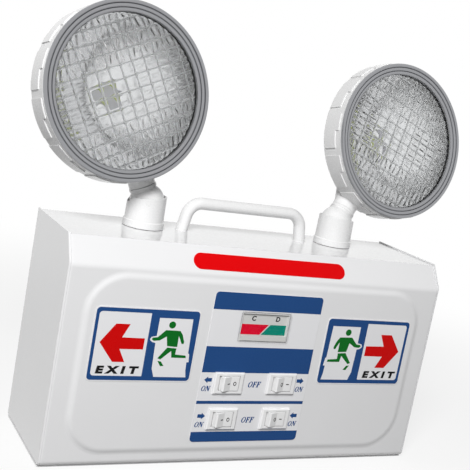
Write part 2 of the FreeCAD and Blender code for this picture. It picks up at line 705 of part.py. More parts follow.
def battery_strap():
    """Folded strap over the battery's front, screwed to the back panel beside it."""
    b = BATTERY
    y1 = BACK_Y - SHEET
    y0 = y1 - 1.5 - b["d"]
    z = 60.0
    x0, x1 = b["x"] - b["w"] / 2, b["x"] + b["w"] / 2
    t, gap, ear = 1.2, 0.3, 11.0
    outside = box(x0 - gap - t, x1 + gap + t, y0 - gap - t, y1, z - 8, z + 8)
    inside = box(x0 - gap, x1 + gap, y0 - gap, y1 + 1, z - 9, z + 9)
    ears = box(x1 + gap, x1 + gap + ear, y1 - t, y1, z - 8, z + 8)
    strap = together([outside.cut(inside), ears])
    return strap.cut(rod(2.1, V(x1 + gap + ear / 2 + 1, y1 + 1, z), -Y_AXIS, 5))


def strap_screw():
    """Screw through the strap's ear into the back panel's boss."""
    x = BATTERY["x"] + BATTERY["w"] / 2 + 0.3 + 11.0 / 2 + 1
    return pan_head_screw(1.1, V(x, BACK_Y - SHEET - 1.2, 60.0), Y_AXIS)


def transformer_core():
    """Laminated core on its foot plate, with the winding window through it."""
    t = TRANSFORMER
    x, y, z0 = t["x"], t["y"], SHEET
    foot = box(x - 32, x + 32, y - 9, y + 9, z0, z0 + 1.2)
    core = box(x - t["w"] / 2, x + t["w"] / 2, y - t["d"] / 2, y + t["d"] / 2,
               z0 + 1.2, z0 + 1.2 + t["h"])
    windows = [
        box(x + sx * 12 - 4, x + sx * 12 + 4, y - 20, y + 20, z0 + 9.2, z0 + 33.2) for sx in (-1, 1)
    ]
    holes = [rod(2.1, V(x + s * 28, y, z0 - 1), Z_AXIS, 5) for s in (-1, 1)]
    return together([foot, core]).cut(windows + holes)


def transformer_coil():
    """Wound bobbin round the middle limb."""
    t = TRANSFORMER
    x, y, z0 = t["x"], t["y"], SHEET + 9.6
    winding = box(x - 15.4, x + 15.4, y - 17, y + 17, z0, z0 + 23.2)
    winding = filleted(winding, 4.0, is_upright)
    limb = box(x - 8.2, x + 8.2, y - t["d"] / 2 - 0.2, y + t["d"] / 2 + 0.2, z0 - 1, z0 + 30)
    return winding.cut(limb)


def control_board():
    """Printed circuit board."""
    b = BOARD
    y1 = BACK_Y - SHEET - b["stand"]
    board = box(b["x0"], b["x1"], y1 - b["t"], y1, b["z0"], b["z1"])
    return board.cut([rod(1.6, V(x, y1 + 1, z), -Y_AXIS, 4) for x, z in board_corners()])


def board_corners():
    """Fixing places of the circuit board, as (x, z)."""
    b = BOARD
    return [(x, z) for x in (b["x0"] + 4, b["x1"] - 4) for z in (b["z0"] + 4, b["z1"] - 4)]


def board_standoffs():
    """Nylon posts that hold the circuit board off the back panel."""
    y1 = BACK_Y - SHEET
    return Part.makeCompound([
        rod(3.2, V(x, y1, z), -Y_AXIS, BOARD["stand"]).fuse(
            rod(1.5, V(x, y1 - BOARD["stand"], z), -Y_AXIS, BOARD["t"] + 1.5)).removeSplitter()
        for x, z in board_corners()
    ])


def on_board(dx0, dx1, height, dz0, dz1):
    """Block standing on the circuit board's front face."""
    b = BOARD
    face = BACK_Y - SHEET - b["stand"] - b["t"]
    return box(b["x0"] + dx0, b["x0"] + dx1, face - height, face, b["z0"] + dz0, b["z0"] + dz1)


def changeover_relay():
    """Sealed relay."""
    cube = on_board(12, 31, 15.5, 34, 49.5)
    return filleted(cube, 1.0, is_depthwise)


def smoothing_capacitor():
    """Aluminium can capacitor with its rolled groove."""
    face = BACK_Y - SHEET - BOARD["stand"] - BOARD["t"]
    r = 6.3
    profile = [(0, 0), (r, 0), (r, 2.4), (r - 0.7, 3.0), (r, 3.6), (r, 19.2), (r - 0.8, 20.0), (0, 20.0)]
    return turned(profile, V(BOARD["x0"] + 44, face, BOARD["z0"] + 40), -Y_AXIS)


def terminal_block():
    """Screw terminal strip with its row of wire entries."""
    strip = on_board(52, 84, 12, 6, 16)
    cuts = []
    for n in range(6):
        x = BOARD["x0"] + 52 + 2.9 + n * 5.24
        face = BACK_Y - SHEET - BOARD["stand"] - BOARD["t"]
        cuts.append(rod(1.8, V(x, face - 13, BOARD["z0"] + 11), Y_AXIS, 5))
        cuts.append(box(x - 1.7, x + 1.7, face - 6.2, face - 2.2, BOARD["z0"] + 5, BOARD["z0"] + 9.5))
    return strip.cut(cuts)


def fuse_link():
    """Glass fuse in its two spring clips, as separate solids."""
    face = BACK_Y - SHEET - BOARD["stand"] - BOARD["t"]
    z = BOARD["z0"] + 24
    x0 = BOARD["x0"] + 56
    glass = rod(2.4, V(x0 + 4.6, face - 5, z), X_AXIS, 10.8)
    solids = [glass]
    for x in (x0, x0 + 15.4):
        cap = rod(2.6, V(x, face - 5, z), X_AXIS, 4.6)
        foot = box(x + 0.6, x + 4.0, face - 5, face, z - 2.9, z + 2.9)
        solids.append(cap.fuse(foot).removeSplitter())
    return Part.makeCompound(solids)


# ---- lamp heads ------------------------------------------------------------------------------
def head_rotation(head):
    """Turn that carries a head from its own frame (neck up, lamp facing -Y) to its rest pose."""
    towards = FreeCAD.Rotation(Z_AXIS, head["towards"])
    lean = FreeCAD.Rotation(Y_AXIS, head["lean"])
    turn = FreeCAD.Rotation(Z_AXIS, head["turn"])
    return towards.multiply(lean), towards.multiply(lean).multiply(turn)


def ball_centre(head):
    """Where the knuckle's ball sits."""
    return V(head["x"], FITTINGS_Y, HEIGHT + BALL_Z)


def placed(shape, where, rotation):
    """Copy of a shape built about the origin, put in its place."""
    moved = shape.copy()
    moved.Placement = FreeCAD.Placement(where, rotation)
    return moved


def turret_cup(lean_range):
    """Turret: flange, cup with an open side for the neck, and hollow stem. Ball centre at the origin."""
    base = -BALL_Z + SEAT_GAP
    deepest = -BALL_R - BALL_GAP
    profile = [
        (WIRE_R, base - STEM_L), (STEM_R, base - STEM_L), (STEM_R, base), (FLANGE_R, base),
        (FLANGE_R, base + FLANGE_H - 1.0), (FLANGE_R - 0.6, base + FLANGE_H - 0.4),
        (CUP_R + 0.3, base + FLANGE_H), (CUP_R - 0.1, RIM_HIGH - BALL_Z + 2), (WIRE_R, RIM_HIGH - BALL_Z + 2),
    ]
    cup = turned(profile, V(0, 0, 0), Z_AXIS)
    seat = Part.makeSphere(BALL_R + BALL_GAP)
    mouth = rod(BALL_R + BALL_GAP, V(0, 0, 0), Z_AXIS, 20)
    low, high = RIM_LOW - BALL_Z, RIM_HIGH - BALL_Z
    rise = math.degrees(math.atan2(high - low, 2 * CUP_R))
    lid = box(-30, 30, -30, 30, 0, 30)
    lid.rotate(V(0, 0, 0), Y_AXIS, rise)
    lid.translate(V(0, 0, (low + high) / 2))
    sweep = []
    for angle in lean_range:
        neck = rod(NECK_R + 0.9, V(0, 0, 0), Z_AXIS, 40)
        neck.rotate(V(0, 0, 0), Y_AXIS, angle)
        sweep.append(neck)
    pin_hole = rod(PIN_R, V(0, -20, 0), Y_AXIS, 40)
    assert deepest > base, "the ball seat has to stay above the flange"
    return cup.cut([seat, mouth, lid, pin_hole] + sweep)


def pivot_pin():
    """Headless pin through the cup and the ball, along the tilt axis, its ends flush with the cup."""
    reach = math.sqrt(CUP_R ** 2 - PIN_R ** 2)
    shank = rod(PIN_R, V(0, -reach, 0), Y_AXIS, 2 * reach)
    return chamfered(shank, 0.2, lambda e: len(e.Vertexes) == 1)


def turret_nut():
    """Six-sided nut and its washer under the top panel."""
    top = -BALL_Z - SHEET - 0.3
    washer = rod(10.0, V(0, 0, top - 1.0), Z_AXIS, 1.0)
    corners = [V(9.8 * math.cos(math.radians(a)), 9.8 * math.sin(math.radians(a)), top - 5.5)
               for a in range(0, 360, 60)]
    nut = prism(corners, V(0, 0, 4.5))
    return nut.fuse(washer).removeSplitter().cut(rod(STEM_R, V(0, 0, top - 8), Z_AXIS, 10))


def knuckle():
    """Ball, neck with its collar, and the spigot that the lamp turns on."""
    ball = Part.makeSphere(BALL_R)
    neck = rod(NECK_R, V(0, 0, 0), Z_AXIS, NECK_L)
    collar = rod(NECK_R + 0.35, V(0, 0, NECK_L - 1.6), Z_AXIS, 1.6)
    spigot = rod(SPIGOT_R, V(0, 0, NECK_L), Z_AXIS, SPIGOT_L)
    body = ball.fuse([neck, collar, spigot]).removeSplitter()
    flat = box(-20, 20, -20, 20, -20, -BALL_R + 1.2)
    wire_way = rod(WIRE_R, V(0, 0, -20), Z_AXIS, 50)
    pin_way = rod(PIN_R + RUNNING, V(0, -20, 0), Y_AXIS, 40)
    return body.cut([flat, wire_way, pin_way])


def lamp_axis(depth=0.0):
    """Point on the lamp's axis, a depth behind its front rim."""
    return V(0, -LAMP_BACK + depth, LAMP_D)


def shell_edges(offset, front):
    """Outline of the lamp shell in section, drawn in by an offset, from its front to its axis."""
    r = SHELL_R - offset

    def at(radius, depth):
        return lamp_axis(depth) + X_AXIS * radius

    shoulder = at(r, BAND_L)
    bowl_mid = at((SHELL_R * 0.80) - offset * 0.8, BAND_L + 13.5 - offset * 0.62)
    tail = at(22.0, LAMP_L - offset)
    return shoulder, [
        Part.LineSegment(at(r, front), shoulder).toShape(),
        Part.Arc(shoulder, bowl_mid, tail).toShape(),
        Part.LineSegment(tail, at(0, LAMP_L - offset)).toShape(),
    ]


def lamp_solid(offset, front):
    """Solid filling the lamp shell's outline, drawn in by an offset."""
    _, edges = shell_edges(offset, front)
    start = lamp_axis(front) + X_AXIS * (SHELL_R - offset)
    edges = edges + [
        Part.LineSegment(lamp_axis(LAMP_L - offset), lamp_axis(front)).toShape(),
        Part.LineSegment(lamp_axis(front), start).toShape(),
    ]
    return turned_wire(edges, lamp_axis(), Y_AXIS)


def shell_pads():
    """Ring of shallow stepped pads round the shell's straight part."""
    def sector(start, span, front):
        outline = [
            lamp_axis(front) + X_AXIS * (SHELL_R - 0.6),
            lamp_axis(front) + X_AXIS * (SHELL_R + PAD_RISE),
            lamp_axis(BAND_L - 0.8) + X_AXIS * (SHELL_R + PAD_RISE),
            lamp_axis(BAND_L) + X_AXIS * (SHELL_R - 0.6),
        ]
        piece = Part.Face(polygon(outline)).revolve(lamp_axis(), Y_AXIS, span)
        piece.rotate(lamp_axis(), Y_AXIS, start)
        return piece

    pads = []
    for n in range(PAD_COUNT):
        middle = n * 360.0 / PAD_COUNT
        if 255.0 < middle < 285.0:
            continue
        start = middle - PAD_ANGLE / 2
        pads.append(sector(start, PAD_ANGLE * 0.5, 8.0))
        pads.append(sector(start + PAD_ANGLE * 0.5, PAD_ANGLE * 0.5, 4.5))
    return pads


def lamp_shell():
    """Moulded lamp housing: banded front, bowl back, and the boss that turns on the neck."""
    body = lamp_solid(0.0, SHELL_FRONT)
    boss_base = NECK_L + SEAM_GAP
    boss = rod(NECK_R, V(0, 0, boss_base), Z_AXIS, 20)
    fairing = Part.makeCone(NECK_R, NECK_R + 3.4, 9, V(0, 0, boss_base + 4), Z_AXIS)
    body = body.fuse([boss, fairing] + shell_pads())
    hollow = lamp_solid(SHELL_WALL, -1.0)
    mouth = rod(SPIGOT_RING_R + 0.4, lamp_axis(-2.0), Y_AXIS, 9.0)
    posts = [
        rod(2.4, lamp_axis(led_board_depth() + 1.6) + V(s * 10.4, 0, 0), Y_AXIS,
            LAMP_L - SHELL_WALL / 2 - led_board_depth() - 1.6) for s in (-1, 1)
    ]
    socket = rod(SPIGOT_R + RUNNING, V(0, 0, 0), Z_AXIS, NECK_L + SPIGOT_L + 0.3)
    wire_way = rod(WIRE_R, V(0, 0, 0), Z_AXIS, 40)
    return body.cut([hollow, mouth, socket, wire_way]).fuse(posts).removeSplitter()


def lamp_bezel():
    """Turned-look ring with stepped beads, over the edge of the lens."""
    r = BEZEL_R
    profile = [
        (SPIGOT_RING_R, 6.8), (SPIGOT_RING_R, SHELL_FRONT - 0.3), (r, SHELL_FRONT - 0.3),
        (r, 1.2), (r - 0.3, 0.5), (r - 1.0, 0.1), (r - 1.8, 0.2), (r - 2.3, 0.6),
        (r - 2.6, 1.3), (r - 2.9, 0.8), (r - 3.6, 0.5), (r - 4.4, 0.6), (r - 4.9, 1.0),
        (r - 5.2, 1.7), (r - 5.5, 1.2), (r - 6.1, 1.0), (r - 6.9, 1.2), (r - 7.5, 1.7),
        (LENS_SEEN_R, 2.6), (LENS_SEEN_R, 3.2), (LENS_R + 0.6, 3.2), (LENS_R + 0.6, 6.8),
    ]
    return turned(profile, lamp_axis(), Y_AXIS)


def lamp_lens(lattice_turn):
    """Clear lens: shallow dome outside, and a lattice of ribs inside, turned in its ring."""
    seat = 3.3
    rim = lamp_axis(seat) + X_AXIS * LENS_R
    edge_seen = lamp_axis(seat) + X_AXIS * (LENS_SEEN_R - 0.6)
    crown = lamp_axis(seat - LENS_DOME)
    half_r = (LENS_SEEN_R - 0.6) / 2
    dome_r = ((LENS_SEEN_R - 0.6) ** 2 + LENS_DOME ** 2) / (2 * LENS_DOME)
    half_drop = dome_r - math.sqrt(dome_r ** 2 - half_r ** 2)
    mid = lamp_axis(seat - LENS_DOME + half_drop) + X_AXIS * half_r
    back = lamp_axis(seat + LENS_T)
    edges = [
        Part.Arc(crown, mid, edge_seen).toShape(),
        Part.LineSegment(edge_seen, rim).toShape(),
        Part.LineSegment(rim, back + X_AXIS * LENS_R).toShape(),
        Part.LineSegment(back + X_AXIS * LENS_R, back).toShape(),
        Part.LineSegment(back, crown).toShape(),
    ]
    dome = turned_wire(edges, lamp_axis(), Y_AXIS)
    bars = []
    count = int(LENS_SEEN_R // LATTICE_PITCH)
    for n in range(-count, count + 1):
        offset = n * LATTICE_PITCH
        reach = math.sqrt((LENS_SEEN_R - 1.0) ** 2 - offset ** 2)
        for quarter in (0, 90):
            bar = box(-reach, reach, 0, RIB_H, offset - RIB_W / 2, offset + RIB_W / 2)
            bar.rotate(V(0, 0, 0), Y_AXIS, quarter + lattice_turn)
            bar.translate(back)
            bars.append(bar)
    lattice = bars[0].fuse(bars[1:])
    return dome.fuse(lattice).removeSplitter()


def lens_gasket():
    """Soft ring between the lens and the shell."""
    depth = 3.3 + LENS_T
    profile = [(LENS_R, depth), (LENS_R, depth + 1.1), (LENS_R - 1.9, depth + 1.1), (LENS_R - 1.9, depth)]
    return turned(profile, lamp_axis(), Y_AXIS)


def reflector():
    """Metallised parabolic dish with a rolled mouth."""
    reach = REFLECTOR_THROAT - REFLECTOR_MOUTH
    span = REFLECTOR_MOUTH_R ** 2 - REFLECTOR_THROAT_R ** 2

    def wall(radius, shift):
        depth = REFLECTOR_THROAT - reach * (radius ** 2 - REFLECTOR_THROAT_R ** 2) / span
        return lamp_axis(depth + shift) + X_AXIS * radius

    radii = [REFLECTOR_THROAT_R + n * (REFLECTOR_MOUTH_R - REFLECTOR_THROAT_R) / 5 for n in range(6)]
    inside = Part.BSplineCurve()
    inside.interpolate([wall(r, 0) for r in radii])
    outside = Part.BSplineCurve()
    outside.interpolate([wall(r, REFLECTOR_T) for r in radii])
    first, last = wall(radii[0], 0), wall(radii[-1], 0)
    lip = X_AXIS * 1.6
    edges = [
        inside.toShape(),
        Part.LineSegment(last, last + lip).toShape(),
        Part.LineSegment(last + lip, last + lip + Y_AXIS * REFLECTOR_T).toShape(),
        Part.LineSegment(last + lip + Y_AXIS * REFLECTOR_T, last + Y_AXIS * REFLECTOR_T).toShape(),
        outside.toShape(),
        Part.LineSegment(first + Y_AXIS * REFLECTOR_T, first).toShape(),
    ]
    return turned_wire(Part.__sortEdges__(edges), lamp_axis(), Y_AXIS)


def led_board_depth():
    """Depth of the LED board's face, against the reflector's throat."""
    return REFLECTOR_THROAT + REFLECTOR_T


def led_board():
    """Round aluminium-backed board at the reflector's throat."""
    board = rod(13.0, lamp_axis(led_board_depth()), Y_AXIS, 1.6)
    holes = [
        rod(1.3, lamp_axis(30) + V(s * 10.4, 0, 0), Y_AXIS, 8) for s in (-1, 1)
    ]
    return board.cut(holes)


def led_chips():
    """Four surface-mounted LEDs in a square, each with its cup and yellow window."""
    face = led_board_depth()
    chips = []
    for sx in (-1, 1):
        for sz in (-1, 1):
            middle = lamp_axis(face) + V(sx * LED_PITCH / 2, 0, sz * LED_PITCH / 2)
            body = box(middle.x - 1.75, middle.x + 1.75, middle.y - 1.4, middle.y,
                       middle.z - 1.75, middle.z + 1.75)
            cup = Part.makeCone(1.4, 1.0, 0.5, middle - Y_AXIS * 1.4, Y_AXIS)
            chips.append(body.cut(cup))
    return Part.makeCompound(chips)


def build_head(side, head):
    """All the pieces of one lamp head, in their rest pose."""
    centre = ball_centre(head)
    upright = FreeCAD.Rotation(Z_AXIS, head["towards"])
    leaned, lamp_turn = head_rotation(head)
    keep(f"turret_{side}", placed(turret_cup(range(0, 51, 10)), centre, upright))
    keep(f"pivot_pin_{side}", placed(pivot_pin(), centre, upright))
    keep(f"turret_nut_{side}", placed(turret_nut(), centre, upright))
    keep(f"knuckle_{side}", placed(knuckle(), centre, leaned))
    lamp = {
        "lamp_shell": lamp_shell(),
        "lamp_bezel": lamp_bezel(),
        "lamp_lens": lamp_lens(head["lattice"]),
        "lens_gasket": lens_gasket(),
        "reflector": reflector(),
        "led_board": led_board(),
        "led_chips": led_chips(),
    }
    for name, shape in lamp.items():
        keep(f"{name}_{side}", placed(shape, centre, lamp_turn))


# ---- assembly --------------------------------------------------------------------------------
def build():
    """Make every sub-part."""
    keep("rear_chassis", rear_chassis())
    keep("front_cover", front_cover())
    keep("cover_screws", cover_screws())
    keep("cable_grommet", cable_grommet())
    keep("carry_handle", carry_handle())
    keep("handle_screws", handle_screws())
    keep("exit_sign_left", exit_sign(-1))
    keep("exit_sign_right", exit_sign(1))
    keep("control_label", control_label())
    keep("title_plate", title_plate())
    keep("meter_window", meter_window())
    keep("meter_case", meter_case())
    keep("meter_dial", meter_dial())
    keep("meter_screen", meter_screen())
    keep("meter_needle", meter_needle())
    rows = ("upper", "lower")
    columns = ("left", "right")
    for row, z in zip(rows, SWITCH_ZS):
        for column, x in zip(columns, SWITCH_XS):
            keep(f"switch_frame_{row}_{column}", switch_frame(x, z))
            keep(f"rocker_{row}_{column}", rocker(x, z))
    keep("switch_tabs", switch_tabs())
    keep("battery", battery_block())
    keep("battery_strap", battery_strap())
    keep("strap_screw", strap_screw())
    keep("transformer_core", transformer_core())
    keep("transformer_coil", transformer_coil())
    keep("control_board", control_board())
    keep("board_standoffs", board_standoffs())
    keep("changeover_relay", changeover_relay())
    keep("smoothing_capacitor", smoothing_capacitor())
    keep("terminal_block", terminal_block())
    keep("fuse_link", fuse_link())
    for side, head in HEADS.items():
        build_head(side, head)


def export():
    """Write one STEP file for each sub-part."""
    os.makedirs("parts", exist_ok=True)
    for name, shape in NODES.items():
        shape.exportStep(f"parts/{name}.step")
        print(f"{name:26s} solids {len(shape.Solids)}  volume {shape.Volume:10.1f}  valid {shape.isValid()}")


build()
export()
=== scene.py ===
"""Finish and print of a twin-head emergency exit light, laid over its CAD frame.

Every CAD part gets the material it is really made of, the films get their screen print, and each
lamp gets a lens with its moulded lattice. The stage adds a floor, a softbox and the camera.
"""

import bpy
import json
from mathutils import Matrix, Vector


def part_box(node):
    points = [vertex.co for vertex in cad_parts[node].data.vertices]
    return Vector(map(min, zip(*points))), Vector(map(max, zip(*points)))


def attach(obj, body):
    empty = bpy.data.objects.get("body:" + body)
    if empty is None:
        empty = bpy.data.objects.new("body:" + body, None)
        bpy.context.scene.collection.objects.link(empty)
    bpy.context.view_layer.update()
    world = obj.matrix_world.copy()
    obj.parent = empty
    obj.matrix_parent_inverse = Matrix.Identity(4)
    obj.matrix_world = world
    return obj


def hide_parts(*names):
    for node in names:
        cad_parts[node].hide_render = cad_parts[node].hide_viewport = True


bl_info = {
    "name": "Emergency exit light finish",
    "version": (1, 0, 0),
    "blender": (4, 5, 0),
    "location": "View3D > Sidebar > Exit Light",
    "description": "Materials, screen print and lenses for a twin-head emergency exit light",
    "category": "Object",
}

import json
import math

import bpy
import numpy as np
from bpy.props import FloatProperty, FloatVectorProperty, IntProperty, PointerProperty
from mathutils import Euler, Matrix, Vector

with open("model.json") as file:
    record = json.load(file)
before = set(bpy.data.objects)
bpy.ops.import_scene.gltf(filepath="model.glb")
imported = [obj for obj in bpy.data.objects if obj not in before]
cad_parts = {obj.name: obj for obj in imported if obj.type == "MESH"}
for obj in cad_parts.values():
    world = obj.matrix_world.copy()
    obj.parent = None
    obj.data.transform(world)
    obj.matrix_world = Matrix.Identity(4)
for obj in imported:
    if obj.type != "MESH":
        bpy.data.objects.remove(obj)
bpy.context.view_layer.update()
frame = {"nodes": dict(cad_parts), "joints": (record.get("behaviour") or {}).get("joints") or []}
MM = 0.001
SIDES = ("left", "right")
ROWS = ("upper", "lower")

# fits to the CAD, in millimetres and degrees
LENS_BACK = -0.6         # back of the lens from the middle of its gasket
ROCKER_TILT = 10.0       # rocker's rest position
ROCKER_DIP = 5.9         # crease between its two faces, in front of the pivot
ROCKER_RISE = 1.1        # each face rises this much over the reach
ROCKER_REACH = 6.1

# turns a drawing's own plane to the front panel's: its X to +X, its Y to +Z, its front to -Y
TO_PANEL = Matrix(((1, 0, 0), (0, 0, -1), (0, 1, 0)))

BLACK_INK = "101012"     # sRGB
INK_MIDDLE = 0.03        # half a printed layer, which keeps a rocker's mark on its face
MOTTLE_SIZE = 38.0       # patches of the faint unevenness in every colour


# ---- colours and nodes -----------------------------------------------------------------------
def hex_colour(text, alpha=1.0):
    """Linear colour of an sRGB hex value."""
    channels = [int(text[n : n + 2], 16) / 255 for n in (0, 2, 4)]
    linear = [c / 12.92 if c <= 0.04045 else ((c + 0.055) / 1.055) ** 2.4 for c in channels]
    return (*linear, alpha)


def add(tree, kind, values=None, links=None, **settings):
    """Adds one node with its settings, its socket values and its incoming links."""
    node = tree.nodes.new(kind)
    for name, value in settings.items():
        setattr(node, name, value)
    for name, value in (values or {}).items():
        node.inputs[name].default_value = value
    for name, source in (links or {}).items():
        tree.links.new(source, node.inputs[name])
    return node


def per_mm(size):
    """Texture scale for a pattern whose features are this many millimetres across."""
    return 1.0 / (size * MM)


def new_material(name):
    """Empty node material and its tree."""
    material = bpy.data.materials.new(name)
    material.use_nodes = True
    material.node_tree.nodes.clear()
    return material, material.node_tree


def surface(
    name, colour, roughness, grain, relief, mottle=0.03, metallic=0.0, ior=1.5, coat=0.0,
    coat_roughness=0.05, roughness_spread=0.06, specular=0.5, transmission=0.0, alpha=1.0,
    stretch=(1.0, 1.0, 1.0), emission=0.0,
):
    """Principled material with a fine relief of a real size, uneven gloss and faint colour mottling.

    grain is the relief's feature size and relief its depth, both in millimetres.
    """
    if name in bpy.data.materials:
        return bpy.data.materials[name]
    material, tree = new_material(name)
    where = add(tree, "ShaderNodeTexCoord").outputs["Object"]
    placed = add(tree, "ShaderNodeMapping", {"Scale": stretch}, {"Vector": where}).outputs[0]
    fine = add(
        tree, "ShaderNodeTexNoise", {"Scale": per_mm(grain), "Detail": 3.0, "Roughness": 0.55},
        {"Vector": placed},
    )
    broad = add(
        tree, "ShaderNodeTexNoise", {"Scale": per_mm(MOTTLE_SIZE), "Detail": 2.0, "Roughness": 0.5},
        {"Vector": where},
    )
    dark = [c * (1.0 - 2.2 * mottle) for c in colour[:3]] + [1.0]
    light = [min(1.0, c * (1.0 + mottle)) for c in colour[:3]] + [1.0]
    tint = add(
        tree, "ShaderNodeMix", {6: dark, 7: light}, {0: broad.outputs[0]}, data_type="RGBA"
    )
    gloss = add(
        tree,
        "ShaderNodeMapRange",
        {
            1: 0.3, 2: 0.7, 3: max(0.0, roughness - roughness_spread),
            4: min(1.0, roughness + roughness_spread),
        },
        {0: fine.outputs[0]},
    )
    bump = add(
        tree, "ShaderNodeBump", {"Strength": 0.6, "Distance": relief * MM}, {"Height": fine.outputs[0]}
    )
    shader = add(
        tree,
        "ShaderNodeBsdfPrincipled",
        {
            "Metallic": metallic, "IOR": ior, "Coat Weight": coat, "Coat Roughness": coat_roughness,
            "Transmission Weight": transmission, "Specular IOR Level": specular, "Alpha": alpha,
        },
        {"Base Color": tint.outputs[2], "Roughness": gloss.outputs[0], "Normal": bump.outputs[0]},
    )
    if emission:
        shader.inputs["Emission Color"].default_value = colour
        shader.inputs["Emission Strength"].default_value = emission
    add(tree, "ShaderNodeOutputMaterial", links={0: shader.outputs[0]})
    return material


# ---- materials -------------------------------------------------------------------------------
def colours():
    """The scene's colour settings."""
    return bpy.context.scene.exit_light_colours


def sizes():
    """The scene's size settings."""
    return bpy.context.scene.exit_light_sizes


def stove_enamel():
    """Folded steel in stoved off-white enamel: hard gloss over a slight orange peel about 1.4 mm across."""
    return surface(
        "stove_enamel_on_folded_steel", colours().enamel, 0.20, 1.4, 0.003, mottle=0.012, coat=1.0,
        coat_roughness=0.04,
    )


def moulded_abs():
    """Injection-moulded off-white ABS: even semi-gloss, with a spark-eroded grain about 0.7 mm across."""
    return surface("injection_moulded_abs", colours().plastic, 0.27, 0.7, 0.006, mottle=0.012, coat=0.25)


def switch_abs():
    """Polished off-white ABS of the rockers and their frames, with a very fine mould texture."""
    return surface("polished_moulded_abs", colours().switches, 0.20, 0.5, 0.003, mottle=0.01, coat=0.4)


def metallised_abs():
    """Vacuum-metallised ABS under a satin lacquer: grey silver, blurred by fine turning marks."""
    return surface(
        "vacuum_metallised_abs_satin", colours().bezel, 0.34, 0.45, 0.002, mottle=0.03, metallic=1.0
    )


def mirror_coating():
    """Evaporated aluminium on a moulded dish: near-mirror, with slight waves about 5 mm across."""
    return surface(
        "evaporated_aluminium_on_moulded_dish", hex_colour("E9E9EA"), 0.11, 5.0, 0.05, mottle=0.02,
        metallic=1.0, roughness_spread=0.03,
    )


def clear_polycarbonate():
    """Clear moulded polycarbonate: water-white, high refraction, flow marks of about 3 mm."""
    return surface(
        "clear_moulded_polycarbonate", hex_colour("FBFCFC"), 0.03, 3.0, 0.004, mottle=0.01, ior=1.585,
        transmission=1.0, roughness_spread=0.02,
    )


def frosted_ridge():
    """Ridges of the lens, left matt by the tool: they scatter light where the cells stay clear."""
    return surface(
        "matt_ridge_of_moulded_polycarbonate", hex_colour("F4F6F7"), 0.35, 0.4, 0.01, mottle=0.02,
        ior=1.585, transmission=0.45,
    )


def window_acrylic():
    """Thin clear acrylic sheet: nearly unseen, with a faint gloss and flow marks of about 3 mm."""
    return surface(
        "thin_clear_acrylic_sheet", hex_colour("222424"), 0.06, 3.0, 0.002, mottle=0.01, alpha=0.05,
        roughness_spread=0.02,
    )


def polyester_film():
    """White gloss polyester film: smooth, with a barely visible ripple from its adhesive."""
    return surface("gloss_polyester_film", colours().film, 0.18, 6.0, 0.010, mottle=0.01, coat=0.3)


def screen_ink(name, colour):
    """Screen ink under a gloss varnish: solid colour with the print mesh, about 0.25 mm, in its relief."""
    return surface(f"screen_ink_{name}", colour, 0.30, 0.25, 0.004, mottle=0.03, specular=0.12)


def zinc_plate():
    """Bright zinc plate on steel: cool grey with a faint crystalline mottle."""
    return surface(
        "bright_zinc_plated_steel", hex_colour("B9BBBD"), 0.30, 0.8, 0.004, mottle=0.08, metallic=1.0
    )


def black_rubber():
    """Moulded black rubber: matt, with a dusty bloom and a fine grain."""
    return surface("moulded_epdm_rubber", hex_colour("1C1C1D"), 0.75, 0.4, 0.02, mottle=0.15)


def black_moulding():
    """Black moulded polycarbonate of the needle: matt and finely grained."""
    return surface("moulded_black_polycarbonate", hex_colour("19191A"), 0.45, 0.4, 0.008, mottle=0.1)


def printed_card():
    """White painted dial card: matt, slightly fibrous."""
    return surface("matt_painted_dial_card", hex_colour("E9E9E6"), 0.55, 0.3, 0.006, mottle=0.03)


def stamped_brass():
    """Stamped brass tab: yellow metal with drawn lines along its length."""
    return surface(
        "stamped_brass", hex_colour("C8A75A"), 0.32, 0.5, 0.004, mottle=0.08, metallic=1.0,
        stretch=(1, 0.1, 1),
    )


def battery_case_abs():
    """Dark moulded ABS of a sealed battery: matt with a pebble grain about 0.9 mm across."""
    return surface("pebble_grained_dark_abs", hex_colour("2B2C2F"), 0.5, 0.9, 0.03, mottle=0.08)


def varnished_laminations():
    """Varnished iron laminations: brown-black with thin layers about 0.5 mm apart."""
    return surface(
        "varnished_iron_laminations", hex_colour("3A342F"), 0.38, 0.5, 0.05, mottle=0.15,
        stretch=(0.05, 1, 0.05),
    )


def winding_tape():
    """Yellow polyester tape round the windings: glossy, with low ridges from the wire under it."""
    return surface(
        "yellow_polyester_tape", hex_colour("D9B84A"), 0.25, 0.8, 0.05, mottle=0.06, stretch=(0.1, 0.1, 1)
    )


def solder_mask():
    """Green solder mask on glass-fibre board: glossy, with the cloth's weave faintly in relief."""
    return surface("green_solder_mask_on_glass_fibre", hex_colour("1E6B3C"), 0.28, 0.6, 0.01, mottle=0.12)


def white_solder_mask():
    """White solder mask on the lamp's aluminium board: bright and even."""
    return surface("white_solder_mask_on_aluminium", hex_colour("E9E8F2"), 0.30, 0.6, 0.005, mottle=0.02)


def natural_nylon():
    """Natural nylon: milky, waxy semi-gloss."""
    return surface("natural_nylon", hex_colour("E4E0D2"), 0.4, 0.8, 0.01, mottle=0.03)


def blue_relay_case():
    """Blue moulded case of the relay: semi-gloss thermoplastic polyester."""
    return surface("moulded_blue_polyester", hex_colour("1E56A6"), 0.35, 0.5, 0.006, mottle=0.05)


def green_terminal_body():
    """Green moulded polyamide of the terminal strip: semi-matt."""
    return surface("moulded_green_polyamide", hex_colour("2F8A4A"), 0.42, 0.5, 0.008, mottle=0.05)


def drawn_aluminium():
    """Drawn aluminium can: satin with faint lines round it."""
    return surface(
        "drawn_aluminium_can", hex_colour("C9CBCD"), 0.3, 0.6, 0.004, mottle=0.05, metallic=1.0,
        stretch=(1, 0.1, 1),
    )


